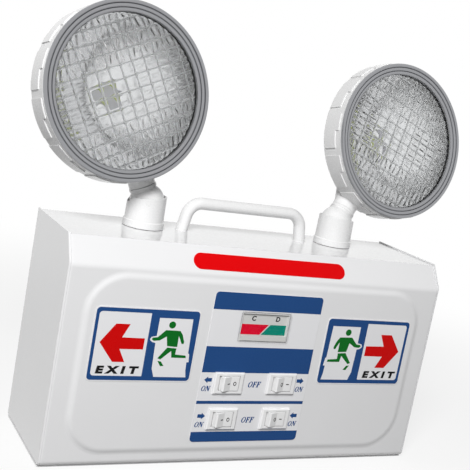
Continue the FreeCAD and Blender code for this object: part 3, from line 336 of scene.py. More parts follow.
def led_phosphor():
    """Silicone lens filled with yellow phosphor: greenish yellow, slightly luminous in studio light."""
    return surface(
        "phosphor_filled_silicone", hex_colour("CBD84E"), 0.35, 0.3, 0.01, mottle=0.05, emission=0.12
    )


def dress(node, material):
    """Gives a CAD node its material."""
    slots = frame["nodes"][node].data.materials
    slots.clear()
    slots.append(material)


# ---- flat print ------------------------------------------------------------------------------
CAPITAL_SHARE = 0.72     # height of a capital as a share of the font's size


def panel_matrix(x, z, y):
    """Carries a drawing in its own plane to the front panel, at x and z in millimetres."""
    return Matrix.Translation((x * MM, y, z * MM)) @ TO_PANEL.to_4x4()


def shifted(place, x, y):
    """A place moved in its own plane, in millimetres."""
    return place @ Matrix.Translation((x * MM, y * MM, 0))


def middle_of(node):
    """Middle and half size of a flat node as (x, z, half width, half height), in millimetres."""
    low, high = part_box(node)
    return (
        (low[0] + high[0]) / 2 / MM,
        (low[2] + high[2]) / 2 / MM,
        (high[0] - low[0]) / 2 / MM,
        (high[2] - low[2]) / 2 / MM,
    )


def film_front(node):
    """Front surface of a film, as a place along Y."""
    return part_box(node)[0][1]


def keep_piece(piece, body):
    """Parents a finished piece to the empty of the body it rides on."""
    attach(piece, body)
    return piece


def as_mesh(name, curve, place, material, body):
    scratch = bpy.data.objects.new(name + "_drawing", curve)
    bpy.context.scene.collection.objects.link(scratch)
    bpy.context.view_layer.update()
    solid = scratch.evaluated_get(bpy.context.evaluated_depsgraph_get())
    mesh = bpy.data.meshes.new_from_object(solid)
    mesh.transform(place)
    mesh.materials.clear()
    mesh.materials.append(material)
    mesh.name = name
    bpy.data.objects.remove(scratch)
    piece = bpy.data.objects.new(name, mesh)
    bpy.context.scene.collection.objects.link(piece)
    return keep_piece(piece, body)


def printed(name, outlines, place, material, body="housing"):
    """Ink of an even thickness inside closed outlines; an outline within another leaves a hole."""
    curve = bpy.data.curves.new(name, "CURVE")
    curve.dimensions = "2D"
    curve.fill_mode = "BOTH"
    curve.extrude = sizes().ink / 2
    for outline in outlines:
        points = np.asarray(outline, float) * MM
        spline = curve.splines.new("POLY")
        spline.points.add(len(points) - 1)
        flat = np.column_stack([points, np.zeros(len(points)), np.ones(len(points))])
        spline.points.foreach_set("co", flat.ravel())
        spline.use_cyclic_u = True
    return as_mesh(name, curve, place, material, body)


def lettering(
    name, text, height, place, material, spread=1.0, slant=0.0, weight=0.0, width=1.0,
    body="housing",
):
    """Centred line of capital letters of a height in millimetres, widened, spaced and slanted."""
    curve = bpy.data.curves.new(name, "FONT")
    curve.body = text
    curve.size = height * MM / CAPITAL_SHARE
    curve.align_x = "CENTER"
    curve.align_y = "CENTER"
    curve.space_character = spread
    curve.shear = slant
    curve.offset = weight * MM
    curve.extrude = sizes().ink / 2
    stretch = Matrix.Diagonal((width, 1.0, 1.0, 1.0))
    return as_mesh(name, curve, place @ stretch, material, body)


def rounded(x0, x1, y0, y1, radii):
    """Outline of a rectangle whose corners (from the top right, anticlockwise) have these radii."""
    corners = ((x1, y1, 0), (x0, y1, 90), (x0, y0, 180), (x1, y0, 270))
    parts = []
    for (cx, cy, start), radius in zip(corners, radii):
        turn = np.radians(start + np.linspace(0, 90, 7))
        inward_x = math.copysign(radius, (x0 + x1) / 2 - cx)
        inward_y = math.copysign(radius, (y0 + y1) / 2 - cy)
        centre = np.array([cx, cy]) + np.array([inward_x, inward_y])
        parts.append(centre + radius * np.column_stack([np.cos(turn), np.sin(turn)]))
    return np.concatenate(parts)


def circle(x, y, radius, steps=28):
    """Outline of a circle."""
    turn = np.linspace(0, 2 * math.pi, steps, endpoint=False)
    return np.column_stack([x + radius * np.cos(turn), y + radius * np.sin(turn)])


def mirrored(outline, flip):
    """An outline turned left for right about the sign's middle."""
    return np.asarray(outline, float) * (flip, 1.0)


def block_arrow(length, head, shaft, barb):
    """Outline of a block arrow that points left, with its tip at -length / 2."""
    neck = head - length / 2
    half = shaft / 2
    return np.array([
        (-length / 2, 0), (neck, barb), (neck, half), (length / 2, half), (length / 2, -half),
        (neck, -half), (neck, -barb),
    ])


# letters with serifs, drawn one unit high: outline points, middle and half sizes of the O, and advances
SERIF_N = [
    (0.0, 0.0), (0.28, 0.0), (0.28, 0.08), (0.19, 0.10), (0.19, 0.70), (0.64, -0.02),
    (0.76, -0.02), (0.76, 0.90), (0.85, 0.92), (0.85, 1.0), (0.57, 1.0), (0.57, 0.92),
    (0.66, 0.90), (0.66, 0.42), (0.30, 1.0), (0.0, 1.0), (0.0, 0.92), (0.09, 0.90),
    (0.09, 0.10), (0.0, 0.08),
]
SERIF_F = [
    (0.0, 0.0), (0.42, 0.0), (0.42, 0.08), (0.32, 0.10), (0.32, 0.45), (0.42, 0.47),
    (0.46, 0.34), (0.52, 0.34), (0.52, 0.68), (0.46, 0.68), (0.42, 0.56), (0.32, 0.55),
    (0.32, 0.91), (0.48, 0.90), (0.56, 0.72), (0.64, 0.72), (0.64, 1.0), (0.0, 1.0),
    (0.0, 0.92), (0.09, 0.90), (0.09, 0.10), (0.0, 0.08),
]
O_MIDDLE = (0.40, 0.5)
O_RADII = ((0.40, 0.52), (0.20, 0.42))
ADVANCES = {"O": 0.86, "N": 0.96, "F": 0.74}


def serif_word(text, height, slant):
    """Outlines of a word in bold slanted capitals with serifs, centred; it knows O, N and F."""
    ring = circle(*O_MIDDLE, 1.0)
    shapes = {"O": [ring, ring], "N": [SERIF_N], "F": [SERIF_F]}
    outlines, x = [], -sum(ADVANCES[letter] for letter in text) / 2
    for letter in text:
        for n, outline in enumerate(shapes[letter]):
            points = np.array(outline, float)
            if letter == "O":
                points = (points - O_MIDDLE) * O_RADII[n] + O_MIDDLE
            points += (x, -0.5)
            points[:, 0] += points[:, 1] * slant
            outlines.append(points * height)
        x += ADVANCES[letter]
    return outlines


# ---- sign drawing, in millimetres from the middle of a sign that points left -----------------
SIGN_FRAME = (-33.5, 33.5, -22.6, 22.6)
ARROW_FIELD = (-31.5, 1.4, -19.9, 20.2)
DOORWAY = [
    (7.0, 17.6), (29.3, 17.6), (29.9, -4.5), (30.7, -4.9), (31.3, -10.2), (29.8, -10.4), (30.1, -15.8),
    (31.0, -20.2), (9.3, -20.2), (7.3, -14.8), (6.8, 1.6), (4.6, 2.1), (3.3, 3.0), (2.9, 4.0), (3.6, 5.4),
    (6.9, 6.2),
]
ARROW = [
    (-28.8, 1.0), (-20.2, 12.8), (-11.2, 12.8), (-15.2, 4.4), (-0.5, 4.2), (-0.5, -2.8), (-15.6, -2.9),
    (-11.2, -11.1), (-19.0, -11.1),
]
TORSO = [
    (12.4, 10.0), (22.0, 9.8), (24.0, 7.4), (25.8, 2.8), (25.5, 1.5), (24.3, 1.5), (22.7, 4.6), (21.6, 6.4),
    (21.7, -0.6), (14.9, -0.2), (13.6, 6.0), (9.4, 3.3), (5.4, 2.9), (4.0, 3.9), (4.6, 4.9), (7.8, 5.3),
]
LEGS = [
    (15.2, -1.1), (21.4, -1.5), (21.2, -5.4), (28.5, -6.0), (28.8, -7.6), (19.0, -7.5), (18.2, -3.2),
    (11.8, -8.9), (9.9, -8.1),
]
FOOT = [(10.3, -9.9), (12.6, -10.2), (14.8, -13.0), (12.5, -13.2)]
HEAD = (16.1, 13.4, 2.25)
SIGN_CORNERS = (2.4,) * 4
ARROW_FIELD_CORNERS = (0.4, 2.0, 2.0, 0.4)
SIGN_WORD_AT = (-15.5, -16.35)
SIGN_WORD_HEIGHT = 4.4

# ---- label, dial and rocker drawings, in millimetres from the middle of each -----------------
LABEL_CORNER, PRINT_CORNER = 2.6, 0.1    # at the film's corners, and elsewhere
LABEL_HEADER_LOW = 38.6
LABEL_BAR = (-3.0, 14.3)
LABEL_LINE = (-24.2, -22.1)
LABEL_FOOT_HIGH = -43.2
SWITCH_ARROW = (5.4, 2.6, 2.4, 2.2)      # length, head, shaft and half the head's width
SWITCH_ARROW_AT = (34.2, 1.8)            # out from the label's middle, up from the row's
SWITCH_ON_AT = (34.6, -4.0)
SWITCH_OFF_DROP = 1.0
ON_HEIGHT, OFF_HEIGHT, WORD_SLANT = 3.5, 3.9, 0.25
DIAL_FIELDS = (-5.2, 1.6)                # low and high edge of the coloured fields
DIAL_RED = (0.4, -2.4, 3.4)              # gap at the dial's edge, low corner, high corner
DIAL_GREEN = (0.5, -1.4, 4.6)
DIAL_LETTERS = (("C", -8.4), ("D", 9.3))
DIAL_LETTER_UP, DIAL_LETTER_HEIGHT = 5.4, 3.1
MARK_BAR = (-1.0, 1.0, -0.3, 0.3)
MARK_RING = ((1.35, 0.8), (0.85, 0.75))  # radius and width share, outside and inside
MARK_ALONG = (-1.7, 2.9)                 # places of the two marks along the rocker


# ---- lamp lens -------------------------------------------------------------------------------
OUTER_CELLS = 2.0        # cells from the middle to the fluted ones
OUTER_EDGE = 8.0         # how sharply the fluted cells begin
COLUMN_SHIFT = 1.0       # plain cells reach one column further on one side
FLUTES_PER_CELL = 2
FLUTE_LEAN = 0.45        # lean of the upright flutes, in flutes to a cell's height
RELIEF_FADE = 1.2        # relief dies away over this width at the ring, in millimetres


def lamp_place(side):
    """Matrix from a lamp's own frame (x across, y back along its axis, z up its neck) to the world.

    The lamp's axis is the direction in which the flat gasket ring is thinnest, and its middle is the origin.
    """
    ring = frame["nodes"][f"lens_gasket_{side}"].data
    points = np.empty(len(ring.vertices) * 3, np.float32)
    ring.vertices.foreach_get("co", points)
    points = points.reshape(-1, 3).astype(float)
    low, high = points.min(0), points.max(0)
    spread = points - points.mean(0)
    back = np.linalg.svd(spread, full_matrices=False)[2][2]
    back *= np.sign(back[1])
    turn = next(j for j in frame["joints"] if j["name"] == f"{side}_lamp_turn")
    up = np.array(turn["axis"])
    up -= back * (up @ back)
    up /= np.linalg.norm(up)
    across = np.cross(back, up)
    matrix = Matrix.Identity(4)
    for column, axis in enumerate((across, back, up, (low + high) / 2)):
        for row in range(3):
            matrix[row][column] = axis[row]
    return matrix


def lens_mesh(name, place, lattice_turn):
    """Lens as two sheets over one square grid, cut to a circle and joined at the edge.

    The front is a shallow sphere cap, y = y0 - dome * (1 - r^2 / R^2). The back is flat, with a ridge
    along every lattice line (a narrow bell curve of the distance to the line), each cell bulged
    by the product of two half sines. Cells of the outer rows have two upright flutes each, whose
    phase leans one way and the other from cell to cell; those of the outer columns have level ones.
    """
    s = sizes()
    pitch, radius, seen = s.lattice_pitch, s.lens_radius, s.lens_seen_radius
    per_cell = s.lattice_steps
    cells = math.ceil(radius / pitch)
    count = 2 * cells * per_cell + 1
    line = np.linspace(-cells * pitch, cells * pitch, count)
    u, v = np.meshgrid(line, line, indexing="ij")
    r = np.hypot(u, v)
    front = -s.lens_dome * np.clip(1 - (r / seen) ** 2, 0, None) - s.lens_thickness
    cu, cv = u / pitch, v / pitch
    du, dv = np.abs(cu - np.round(cu)), np.abs(cv - np.round(cv))
    ridge_w = 0.5 * s.ridge_width / pitch
    ridge = np.exp(-((du / ridge_w) ** 2)) + np.exp(-((dv / ridge_w) ** 2))
    bulge = np.sin(math.pi * (cu - np.floor(cu))) * np.sin(math.pi * (cv - np.floor(cv)))
    outer_rows = 1 / (1 + np.exp(-(np.abs(cv) - OUTER_CELLS) * OUTER_EDGE))
    outer_columns = 1 / (1 + np.exp(-(np.abs(cu + COLUMN_SHIFT) - OUTER_CELLS) * OUTER_EDGE))
    outer_columns *= 1 - outer_rows
    lean = FLUTE_LEAN * (-1.0) ** (np.floor(cu) + np.floor(cv)) * (cv - np.floor(cv) - 0.5)
    upright = np.cos(2 * math.pi * (FLUTES_PER_CELL * cu + lean))
    level = np.cos(2 * math.pi * FLUTES_PER_CELL * cv)
    flutes = outer_rows * upright + outer_columns * level
    fade = np.clip((seen - r) / (RELIEF_FADE * MM), 0, 1)
    back = fade * (s.ridge_height * ridge + s.cell_bulge * bulge + s.flute_depth * flutes * bulge ** 0.5)
    turn = math.radians(lattice_turn)
    x = u * math.cos(turn) - v * math.sin(turn)
    z = u * math.sin(turn) + v * math.cos(turn)
    inside = r < radius
    quad = inside[:-1, :-1] & inside[1:, :-1] & inside[1:, 1:] & inside[:-1, 1:]
    index = np.arange(count * count).reshape(count, count)
    corners = [index[:-1, :-1], index[1:, :-1], index[1:, 1:], index[:-1, 1:]]
    back_faces = np.stack([c[quad] for c in corners], 1)
    total = count * count
    back_faces = back_faces[:, ::-1]
    front_faces = back_faces[:, ::-1] + total
    edges = np.concatenate([back_faces[:, [a, (a + 1) % 4]] for a in range(4)])
    keys = np.sort(edges, 1)
    order = keys[:, 0] * total + keys[:, 1]
    unique, first, uses = np.unique(order, return_index=True, return_counts=True)
    rim = edges[first[uses == 1]]
    wall = np.stack([rim[:, 1], rim[:, 0], rim[:, 0] + total, rim[:, 1] + total], 1)
    faces = np.concatenate([back_faces, front_faces, wall])
    sheet_back = np.stack([x, back, z], -1).reshape(-1, 3)
    sheet_front = np.stack([x, front, z], -1).reshape(-1, 3)
    vertices = np.concatenate([sheet_back, sheet_front])
    used, packed = np.unique(faces, return_inverse=True)
    mesh = bpy.data.meshes.new(name)
    mesh.from_pydata(vertices[used].tolist(), [], packed.reshape(faces.shape).tolist())
    mesh.transform(place)
    mesh.polygons.foreach_set("use_smooth", np.ones(len(mesh.polygons), bool))
    near = np.minimum(du, dv) * pitch < s.ridge_width / 2
    on_ridge = (near & (r < seen)).ravel()[back_faces].sum(1) > 2
    slots = np.zeros(len(faces), np.int32)
    slots[: len(back_faces)] = on_ridge
    mesh.polygons.foreach_set("material_index", slots)
    mesh.update()
    return mesh


# ---- settings --------------------------------------------------------------------------------
class ExitLightColours(bpy.types.PropertyGroup):
    """Colours of the finish and the print."""

    enamel: FloatVectorProperty(
        name="Enamel", description="Enamel of the housing", subtype="COLOR", size=4, min=0, max=1,
        default=hex_colour("E7E7E8"),
    )
    plastic: FloatVectorProperty(
        name="Plastic", description="Lamp shells, turrets, handle", subtype="COLOR", size=4, min=0, max=1,
        default=hex_colour("E9E9E9"),
    )
    switches: FloatVectorProperty(
        name="Switches", description="Rockers and their frames", subtype="COLOR", size=4, min=0, max=1,
        default=hex_colour("F2F2F2"),
    )
    bezel: FloatVectorProperty(
        name="Bezel", description="Metallised rings of the lenses", subtype="COLOR", size=4, min=0, max=1,
        default=hex_colour("A0A1A4"),
    )
    film: FloatVectorProperty(
        name="Film", description="Ground of the printed films", subtype="COLOR", size=4, min=0, max=1,
        default=hex_colour("ECECEE"),
    )
    blue: FloatVectorProperty(
        name="Blue", description="Blue ink of the labels", subtype="COLOR", size=4, min=0, max=1,
        default=hex_colour("204A83"),
    )
    arrow_red: FloatVectorProperty(
        name="Arrow red", description="Red ink of the arrows", subtype="COLOR", size=4, min=0, max=1,
        default=hex_colour("D30000"),
    )
    title_red: FloatVectorProperty(
        name="Title red", description="Red of the long plate", subtype="COLOR", size=4, min=0, max=1,
        default=hex_colour("DD0005"),
    )
    green: FloatVectorProperty(
        name="Green", description="Green ink of the running figure", subtype="COLOR", size=4, min=0, max=1,
        default=hex_colour("00691C"),
    )
    meter_red: FloatVectorProperty(
        name="Meter red", description="Red field of the dial", subtype="COLOR", size=4, min=0, max=1,
        default=hex_colour("F40030"),
    )
    meter_green: FloatVectorProperty(
        name="Meter green", description="Green field of the dial", subtype="COLOR", size=4, min=0, max=1,
        default=hex_colour("00947E"),
    )


class ExitLightSizes(bpy.types.PropertyGroup):
    """Sizes of the print and the lenses."""

    ink: FloatProperty(
        name="Ink", description="Thickness of a printed layer", unit="LENGTH", default=0.06 * MM
    )
    lens_radius: FloatProperty(
        name="Lens radius", description="Edge of the lens, under its ring", unit="LENGTH", default=49.0 * MM
    )
    lens_seen_radius: FloatProperty(
        name="Lens opening", description="Lens radius inside its ring", unit="LENGTH", default=47.0 * MM
    )
    lens_dome: FloatProperty(
        name="Lens dome", description="Rise of the lens in its middle", unit="LENGTH", default=3.8 * MM
    )
    lens_thickness: FloatProperty(
        name="Lens thickness", description="Thickness at the edge", unit="LENGTH", default=2.3 * MM
    )
    lattice_pitch: FloatProperty(
        name="Lattice pitch", description="Side of a lens cell", unit="LENGTH", default=8.3 * MM
    )
    lattice_steps: IntProperty(name="Lattice steps", description="Grid steps to a cell", default=18)
    ridge_height: FloatProperty(
        name="Ridge height", description="Ridges between the cells", unit="LENGTH", default=0.55 * MM
    )
    ridge_width: FloatProperty(
        name="Ridge width", description="Width of the ridges at their foot", unit="LENGTH", default=1.0 * MM
    )
    cell_bulge: FloatProperty(
        name="Cell bulge", description="Bulge of each cell", unit="LENGTH", default=0.36 * MM
    )
    flute_depth: FloatProperty(
        name="Flute depth", description="Flutes in the outer cells", unit="LENGTH", default=0.46 * MM
    )
    lattice_turn_left: FloatProperty(
        name="Left lattice turn", description="Turn of the left lens, in degrees", default=0.5
    )
    lattice_turn_right: FloatProperty(
        name="Right lattice turn", description="Turn of the right lens, in degrees", default=11.0
    )


# ---- operators -------------------------------------------------------------------------------
class EXITLIGHT_OT_housing(bpy.types.Operator):
    """Enamel the folded housing and finish what fastens it."""

    bl_idname = "exit_light.housing"
    bl_label = "Housing"

    def execute(self, context):
        for node in ("front_cover", "rear_chassis"):
            dress(node, stove_enamel())
        for node in ("cover_screws", "handle_screws"):
            dress(node, zinc_plate())
        dress("cable_grommet", black_rubber())
        return {"FINISHED"}


class EXITLIGHT_OT_mouldings(bpy.types.Operator):
    """Finish the handle, the turrets, the knuckles and the lamp shells as moulded plastic."""

    bl_idname = "exit_light.mouldings"
    bl_label = "Mouldings"

    def execute(self, context):
        dress("carry_handle", moulded_abs())
        for side in SIDES:
            for node in ("turret", "knuckle", "pivot_pin", "lamp_shell"):
                dress(f"{node}_{side}", moulded_abs())
            dress(f"turret_nut_{side}", zinc_plate())
        return {"FINISHED"}


class EXITLIGHT_OT_lamp_optics(bpy.types.Operator):
    """Finish the rings, gaskets, reflectors and light sources inside the lamps."""

    bl_idname = "exit_light.lamp_optics"
    bl_label = "Lamp optics"

    def execute(self, context):
        for side in SIDES:
            dress(f"lamp_bezel_{side}", metallised_abs())
            dress(f"lens_gasket_{side}", black_rubber())
            dress(f"reflector_{side}", mirror_coating())
            dress(f"led_board_{side}", white_solder_mask())
            dress(f"led_chips_{side}", led_phosphor())
        return {"FINISHED"}


class EXITLIGHT_OT_lenses(bpy.types.Operator):
    """Mould the two lenses with their lattice of ridges, bulged cells and flutes."""

    bl_idname = "exit_light.lenses"
    bl_label = "Lenses"

    def execute(self, context):
        turns = {"left": sizes().lattice_turn_left, "right": sizes().lattice_turn_right}
        for side in SIDES:
            name = f"moulded_lens_{side}"
            seat = Matrix.Translation((0, LENS_BACK * MM, 0))
            mesh = lens_mesh(name, lamp_place(side) @ seat, turns[side])
            mesh.materials.append(clear_polycarbonate())
            mesh.materials.append(frosted_ridge())
            piece = bpy.data.objects.new(name, mesh)
            context.scene.collection.objects.link(piece)
            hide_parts(f"lamp_lens_{side}")
            keep_piece(piece, f"{side}_lamp")
            dress(f"lamp_lens_{side}", clear_polycarbonate())
        return {"FINISHED"}


class EXITLIGHT_OT_exit_signs(bpy.types.Operator):
    """Print the two exit signs: blue frame, red arrow, green running figure and lettering."""

    bl_idname = "exit_light.exit_signs"
    bl_label = "Exit signs"

    def execute(self, context):
        blue = screen_ink("blue", colours().blue)
        red = screen_ink("arrow_red", colours().arrow_red)
        green = screen_ink("green", colours().green)
        black = screen_ink("black", hex_colour(BLACK_INK))
        for side in SIDES:
            film = f"exit_sign_{side}"
            dress(film, polyester_film())
            flip = 1 if side == "left" else -1
            x, z, _, _ = middle_of(film)
            place = panel_matrix(x, z, film_front(film) - sizes().ink / 2)
            outer = rounded(*SIGN_FRAME, SIGN_CORNERS)
            field = rounded(*ARROW_FIELD, ARROW_FIELD_CORNERS)
            frame_lines = [mirrored(o, flip) for o in (outer, field, DOORWAY)]
            printed(f"sign_frame_{side}", frame_lines, place, blue)
            printed(f"sign_arrow_{side}", [mirrored(ARROW, flip)], place, red)
            figure = [mirrored(o, flip) for o in (TORSO, LEGS, FOOT, circle(*HEAD))]
            printed(f"sign_figure_{side}", figure, place, green)
            words = shifted(place, SIGN_WORD_AT[0] * flip, SIGN_WORD_AT[1])
            lettering(
                f"sign_letters_{side}", "EXIT", SIGN_WORD_HEIGHT, words, black,
                spread=1.65, slant=0.12, weight=0.40, width=1.42,
            )
        return {"FINISHED"}


class EXITLIGHT_OT_control_label(bpy.types.Operator):
    """Print the control label: blue bands, arrows and the on and off marks."""

    bl_idname = "exit_light.control_label"
    bl_label = "Control label"

    def execute(self, context):
        film = "control_label"
        dress(film, polyester_film())
        blue = screen_ink("blue", colours().blue)
        middle_x, middle_z, half_w, half_h = middle_of(film)
        place = panel_matrix(middle_x, middle_z, film_front(film) - sizes().ink / 2)
        square = (PRINT_CORNER,) * 4
        top = (LABEL_CORNER,) * 2 + (PRINT_CORNER,) * 2
        bands = [
            rounded(-half_w, half_w, LABEL_HEADER_LOW, half_h, top),
            rounded(-half_w, half_w, *LABEL_BAR, square),
            rounded(-half_w, half_w, *LABEL_LINE, square),
            rounded(-half_w, half_w, -half_h, LABEL_FOOT_HIGH, top[::-1]),
        ]
        printed("label_bands", bands, place, blue)
        for row in ROWS:
            z = middle_of(f"switch_frame_{row}_left")[1] - middle_z
            for column, sign in zip(SIDES, (-1, 1)):
                outward = sign if row == "upper" else -sign
                arrow = mirrored(block_arrow(*SWITCH_ARROW), -outward)
                at = shifted(place, sign * SWITCH_ARROW_AT[0], z + SWITCH_ARROW_AT[1])
                printed(f"label_arrow_{row}_{column}", [arrow], at, blue)
                at = shifted(place, sign * SWITCH_ON_AT[0], z + SWITCH_ON_AT[1])
                word = serif_word("ON", ON_HEIGHT, WORD_SLANT)
                printed(f"label_on_{row}_{column}", word, at, blue)
            at = shifted(place, 0, z - SWITCH_OFF_DROP)
            printed(f"label_off_{row}", serif_word("OFF", OFF_HEIGHT, WORD_SLANT), at, blue)
        return {"FINISHED"}


class EXITLIGHT_OT_title_plate(bpy.types.Operator):
    """Finish the long red plate on the sloping edge."""

    bl_idname = "exit_light.title_plate"
    bl_label = "Title plate"

    def execute(self, context):
        dress("title_plate", screen_ink("title_red", colours().title_red))
        return {"FINISHED"}


class EXITLIGHT_OT_meter(bpy.types.Operator):
    """Print the meter's dial and finish its case, window, screen and needle."""

    bl_idname = "exit_light.meter"
    bl_label = "Meter"

    def execute(self, context):
        dress("meter_case", moulded_abs())
        dress("meter_dial", printed_card())
        dress("meter_screen", printed_card())
        dress("meter_needle", black_moulding())
        dress("meter_window", window_acrylic())
        middle_x, middle_z, half, _ = middle_of("meter_dial")
        place = panel_matrix(middle_x, middle_z, film_front("meter_dial") - sizes().ink / 2)
        low, high = DIAL_FIELDS
        gap, foot, crown = DIAL_RED
        red = [(-half + gap, high), (crown, high), (foot, low), (-half + gap, low)]
        gap, foot, crown = DIAL_GREEN
        green = [(crown, high), (half - gap, high), (half - gap, low), (foot, low)]
        red_ink = screen_ink("meter_red", colours().meter_red)
        green_ink = screen_ink("meter_green", colours().meter_green)
        printed("dial_red_field", [red], place, red_ink)
        printed("dial_green_field", [green], place, green_ink)
        black = screen_ink("black", hex_colour(BLACK_INK))
        for letter, x in DIAL_LETTERS:
            lettering(
                f"dial_letter_{letter}", letter, DIAL_LETTER_HEIGHT, shifted(place, x, DIAL_LETTER_UP),
                black, slant=0.1, weight=0.16,
            )
        return {"FINISHED"}


class EXITLIGHT_OT_switches(bpy.types.Operator):
    """Finish the switches and print the bar and ring on each rocker."""

    bl_idname = "exit_light.switches"
    bl_label = "Switches"

    def execute(self, context):
        black = screen_ink("black", hex_colour(BLACK_INK))
        for row in ROWS:
            for column in SIDES:
                dress(f"switch_frame_{row}_{column}", switch_abs())
                dress(f"rocker_{row}_{column}", switch_abs())
                self.mark(row, column, black)
        dress("switch_tabs", stamped_brass())
        return {"FINISHED"}

    def mark(self, row, column, ink):
        """Puts a short bar and a ring on the two faces of a rocker, as it lies at rest."""
        joint = next(j for j in frame["joints"] if j["name"] == f"{row}_{column}_rocker_tip")
        pivot = Vector(joint["pos_m"])
        tilt = Matrix.Rotation(math.radians(ROCKER_TILT), 4, "Z")
        slope = math.atan2(ROCKER_RISE, ROCKER_REACH)
        bar = [rounded(*MARK_BAR, (PRINT_CORNER,) * 4)]
        ring = [mirrored(circle(0, 0, radius), share) for radius, share in MARK_RING]
        marks = [("bar", bar), ("ring", ring)]
        if column == "right":
            marks.reverse()
        for (name, outlines), along in zip(marks, MARK_ALONG):
            lean = slope if along > 0 else -slope
            depth = -(ROCKER_DIP + abs(along) * math.tan(slope) + INK_MIDDLE)
            local = Matrix.Translation((along * MM, depth * MM, 0)) @ Matrix.Rotation(-lean, 4, "Z")
            place = Matrix.Translation(pivot) @ tilt @ local @ TO_PANEL.to_4x4()
            body = f"{row}_{column}_rocker"
            printed(f"rocker_{name}_{row}_{column}", outlines, place, ink, body=body)


class EXITLIGHT_OT_inside(bpy.types.Operator):
    """Finish the battery, transformer and circuit board inside the housing."""

    bl_idname = "exit_light.inside"
    bl_label = "Inside"

    def execute(self, context):
        finishes = {
            "battery": battery_case_abs(),
            "battery_strap": zinc_plate(),
            "strap_screw": zinc_plate(),
            "transformer_core": varnished_laminations(),
            "transformer_coil": winding_tape(),
            "control_board": solder_mask(),
            "board_standoffs": natural_nylon(),
            "changeover_relay": blue_relay_case(),
            "smoothing_capacitor": drawn_aluminium(),
            "terminal_block": green_terminal_body(),
            "fuse_link": zinc_plate(),
        }
        for node, material in finishes.items():
            dress(node, material)
        return {"FINISHED"}


# ---- stage, in metres ------------------------------------------------------------------------
FLOOR_REACH = 4.0
FLOOR_FADE = (0.22, 0.70)        # from the shadow beside the object to plain white
FLOOR_GLOW = (0.80, 1.0)         # share of plain white at those distances
ROOM_LIGHT = 0.05                # what the world adds to matt surfaces
KEY_PLACE, KEY_TARGET = (-0.60, -0.83, 0.93), (0, 0, 0.14)
KEY_SIZE, KEY_POWER = 0.46, 18.8     # metres and watts
CAMERA_PLACE = (-0.2993, -0.5400, 0.2497)
CAMERA_TURN = (80.070, -10.461, -26.199)
CAMERA_SENSOR, CAMERA_LENS = 36.0, 71.53     # millimetres
CAMERA_NEAR = 0.01


def seen_directly(tree):
    """Socket that is 1 for what the camera, gloss and glass see, and 0 for light on matt surfaces."""
    path = add(tree, "ShaderNodeLightPath").outputs
    mirror = add(
        tree, "ShaderNodeMath", links={0: path["Is Camera Ray"], 1: path["Is Glossy Ray"]},
        operation="MAXIMUM",
    )
    glass = add(
        tree, "ShaderNodeMath", links={0: mirror.outputs[0], 1: path["Is Transmission Ray"]},
        operation="MAXIMUM",
    )
    return glass.outputs[0]


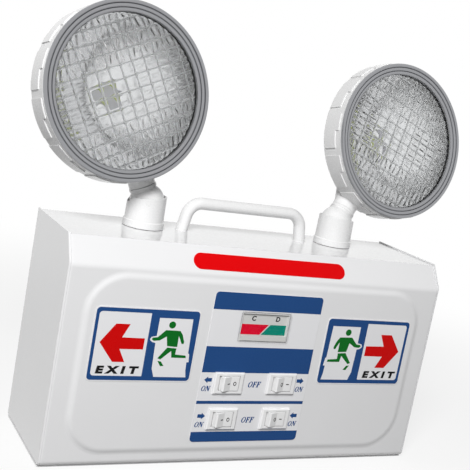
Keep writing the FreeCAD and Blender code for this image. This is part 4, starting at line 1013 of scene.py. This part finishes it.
class EXITLIGHT_OT_stage(bpy.types.Operator):
    """Set the floor, the studio light and the camera."""

    bl_idname = "exit_light.stage"
    bl_label = "Stage"

    def execute(self, context):
        self.floor(context)
        self.world(context)
        self.softbox(context)
        self.camera(context)
        context.scene.view_settings.view_transform = "Standard"
        return {"FINISHED"}

    def floor(self, context):
        """White floor that keeps the object's shadow and brightens to plain white away from it.

        Light that bounces off it meets a mid grey paper, so that it doesn't fill the object's shade.
        """
        r = FLOOR_REACH
        mesh = bpy.data.meshes.new("studio_floor")
        mesh.from_pydata([(-r, -r, 0), (r, -r, 0), (r, r, 0), (-r, r, 0)], [], [(0, 1, 2, 3)])
        floor = bpy.data.objects.new("studio_floor", mesh)
        context.scene.collection.objects.link(floor)
        material, tree = new_material("white_seamless_paper")
        where = add(tree, "ShaderNodeTexCoord").outputs["Object"]
        away = add(tree, "ShaderNodeVectorMath", links={0: where}, operation="LENGTH")
        share = add(
            tree, "ShaderNodeMapRange",
            {1: FLOOR_FADE[0], 2: FLOOR_FADE[1], 3: FLOOR_GLOW[0], 4: FLOOR_GLOW[1]},
            {0: away.outputs["Value"]}, interpolation_type="SMOOTHSTEP",
        )
        seen = seen_directly(tree)
        share = add(tree, "ShaderNodeMath", links={0: share.outputs[0], 1: seen}, operation="MULTIPLY")
        fibre = add(
            tree, "ShaderNodeTexNoise", {"Scale": per_mm(1.2), "Detail": 3.0}, {"Vector": where}
        )
        tint = add(
            tree, "ShaderNodeMix", {6: hex_colour("F4F4F4"), 7: hex_colour("FAFAFA")},
            {0: fibre.outputs[0]}, data_type="RGBA",
        )
        tint = add(
            tree, "ShaderNodeMix", {6: hex_colour("8A8A8A")}, {0: seen, 7: tint.outputs[2]},
            data_type="RGBA",
        )
        paper = add(tree, "ShaderNodeBsdfDiffuse", links={"Color": tint.outputs[2]})
        glow = add(tree, "ShaderNodeEmission", {"Color": (1, 1, 1, 1), "Strength": 1.0})
        mixed = add(
            tree, "ShaderNodeMixShader",
            links={0: share.outputs[0], 1: paper.outputs[0], 2: glow.outputs[0]},
        )
        add(tree, "ShaderNodeOutputMaterial", links={0: mixed.outputs[0]})
        mesh.materials.append(material)

    def world(self, context):
        """Dim room light before a white backdrop, which the camera, gloss and glass see as plain white."""
        world = bpy.data.worlds.new("plain_studio")
        context.scene.world = world
        world.use_nodes = True
        tree = world.node_tree
        tree.nodes.clear()
        strength = add(
            tree, "ShaderNodeMath", {1: ROOM_LIGHT}, {0: seen_directly(tree)}, operation="MAXIMUM"
        )
        light = add(
            tree, "ShaderNodeBackground", {"Color": (1, 1, 1, 1)}, {"Strength": strength.outputs[0]}
        )
        add(tree, "ShaderNodeOutputWorld", links={0: light.outputs[0]})

    def softbox(self, context):
        """Square softbox towards the object, kept out of reflections so that no lens shows its square."""
        light = bpy.data.lights.new("key_softbox", "AREA")
        light.size = KEY_SIZE
        light.energy = KEY_POWER
        lamp = bpy.data.objects.new("key_softbox", light)
        lamp.location = KEY_PLACE
        towards = Vector(KEY_TARGET) - Vector(KEY_PLACE)
        lamp.rotation_euler = towards.to_track_quat("-Z", "Y").to_euler()
        context.scene.collection.objects.link(lamp)
        lamp.visible_glossy = False
        lamp.visible_transmission = False

    def camera(self, context):
        """Camera a little above the lamps' height, to the left of the front panel."""
        camera = bpy.data.cameras.new("camera")
        camera.sensor_width = CAMERA_SENSOR
        camera.lens = CAMERA_LENS
        camera.clip_start = CAMERA_NEAR
        eye = bpy.data.objects.new("camera", camera)
        eye.location = CAMERA_PLACE
        eye.rotation_euler = Euler([math.radians(a) for a in CAMERA_TURN])
        context.scene.collection.objects.link(eye)
        context.scene.camera = eye


OPERATORS = (
    EXITLIGHT_OT_housing,
    EXITLIGHT_OT_mouldings,
    EXITLIGHT_OT_lamp_optics,
    EXITLIGHT_OT_lenses,
    EXITLIGHT_OT_exit_signs,
    EXITLIGHT_OT_control_label,
    EXITLIGHT_OT_title_plate,
    EXITLIGHT_OT_meter,
    EXITLIGHT_OT_switches,
    EXITLIGHT_OT_inside,
    EXITLIGHT_OT_stage,
)


class EXITLIGHT_PT_panel(bpy.types.Panel):
    """Lists the pieces of the exit light and their settings."""

    bl_idname = "EXITLIGHT_PT_panel"
    bl_label = "Exit Light"
    bl_space_type = "VIEW_3D"
    bl_region_type = "UI"
    bl_category = "Exit Light"

    def draw(self, context):
        for operator in OPERATORS:
            self.layout.operator(operator.bl_idname)
        for group in (context.scene.exit_light_colours, context.scene.exit_light_sizes):
            box = self.layout.box()
            for name in group.__annotations__:
                box.prop(group, name)


CLASSES = (ExitLightColours, ExitLightSizes, *OPERATORS, EXITLIGHT_PT_panel)


def register():
    """Registers the classes and the scene's settings."""
    for cls in CLASSES:
        bpy.utils.register_class(cls)
    bpy.types.Scene.exit_light_colours = PointerProperty(type=ExitLightColours)
    bpy.types.Scene.exit_light_sizes = PointerProperty(type=ExitLightSizes)


def unregister():
    """Removes the classes and the scene's settings."""
    del bpy.types.Scene.exit_light_sizes
    del bpy.types.Scene.exit_light_colours
    for cls in reversed(CLASSES):
        bpy.utils.unregister_class(cls)


def main():
    """Builds the scene."""
    register()
    for operator in OPERATORS:
        group, name = operator.bl_idname.split(".")
        getattr(getattr(bpy.ops, group), name)()


if __name__ == "__main__":
    main()
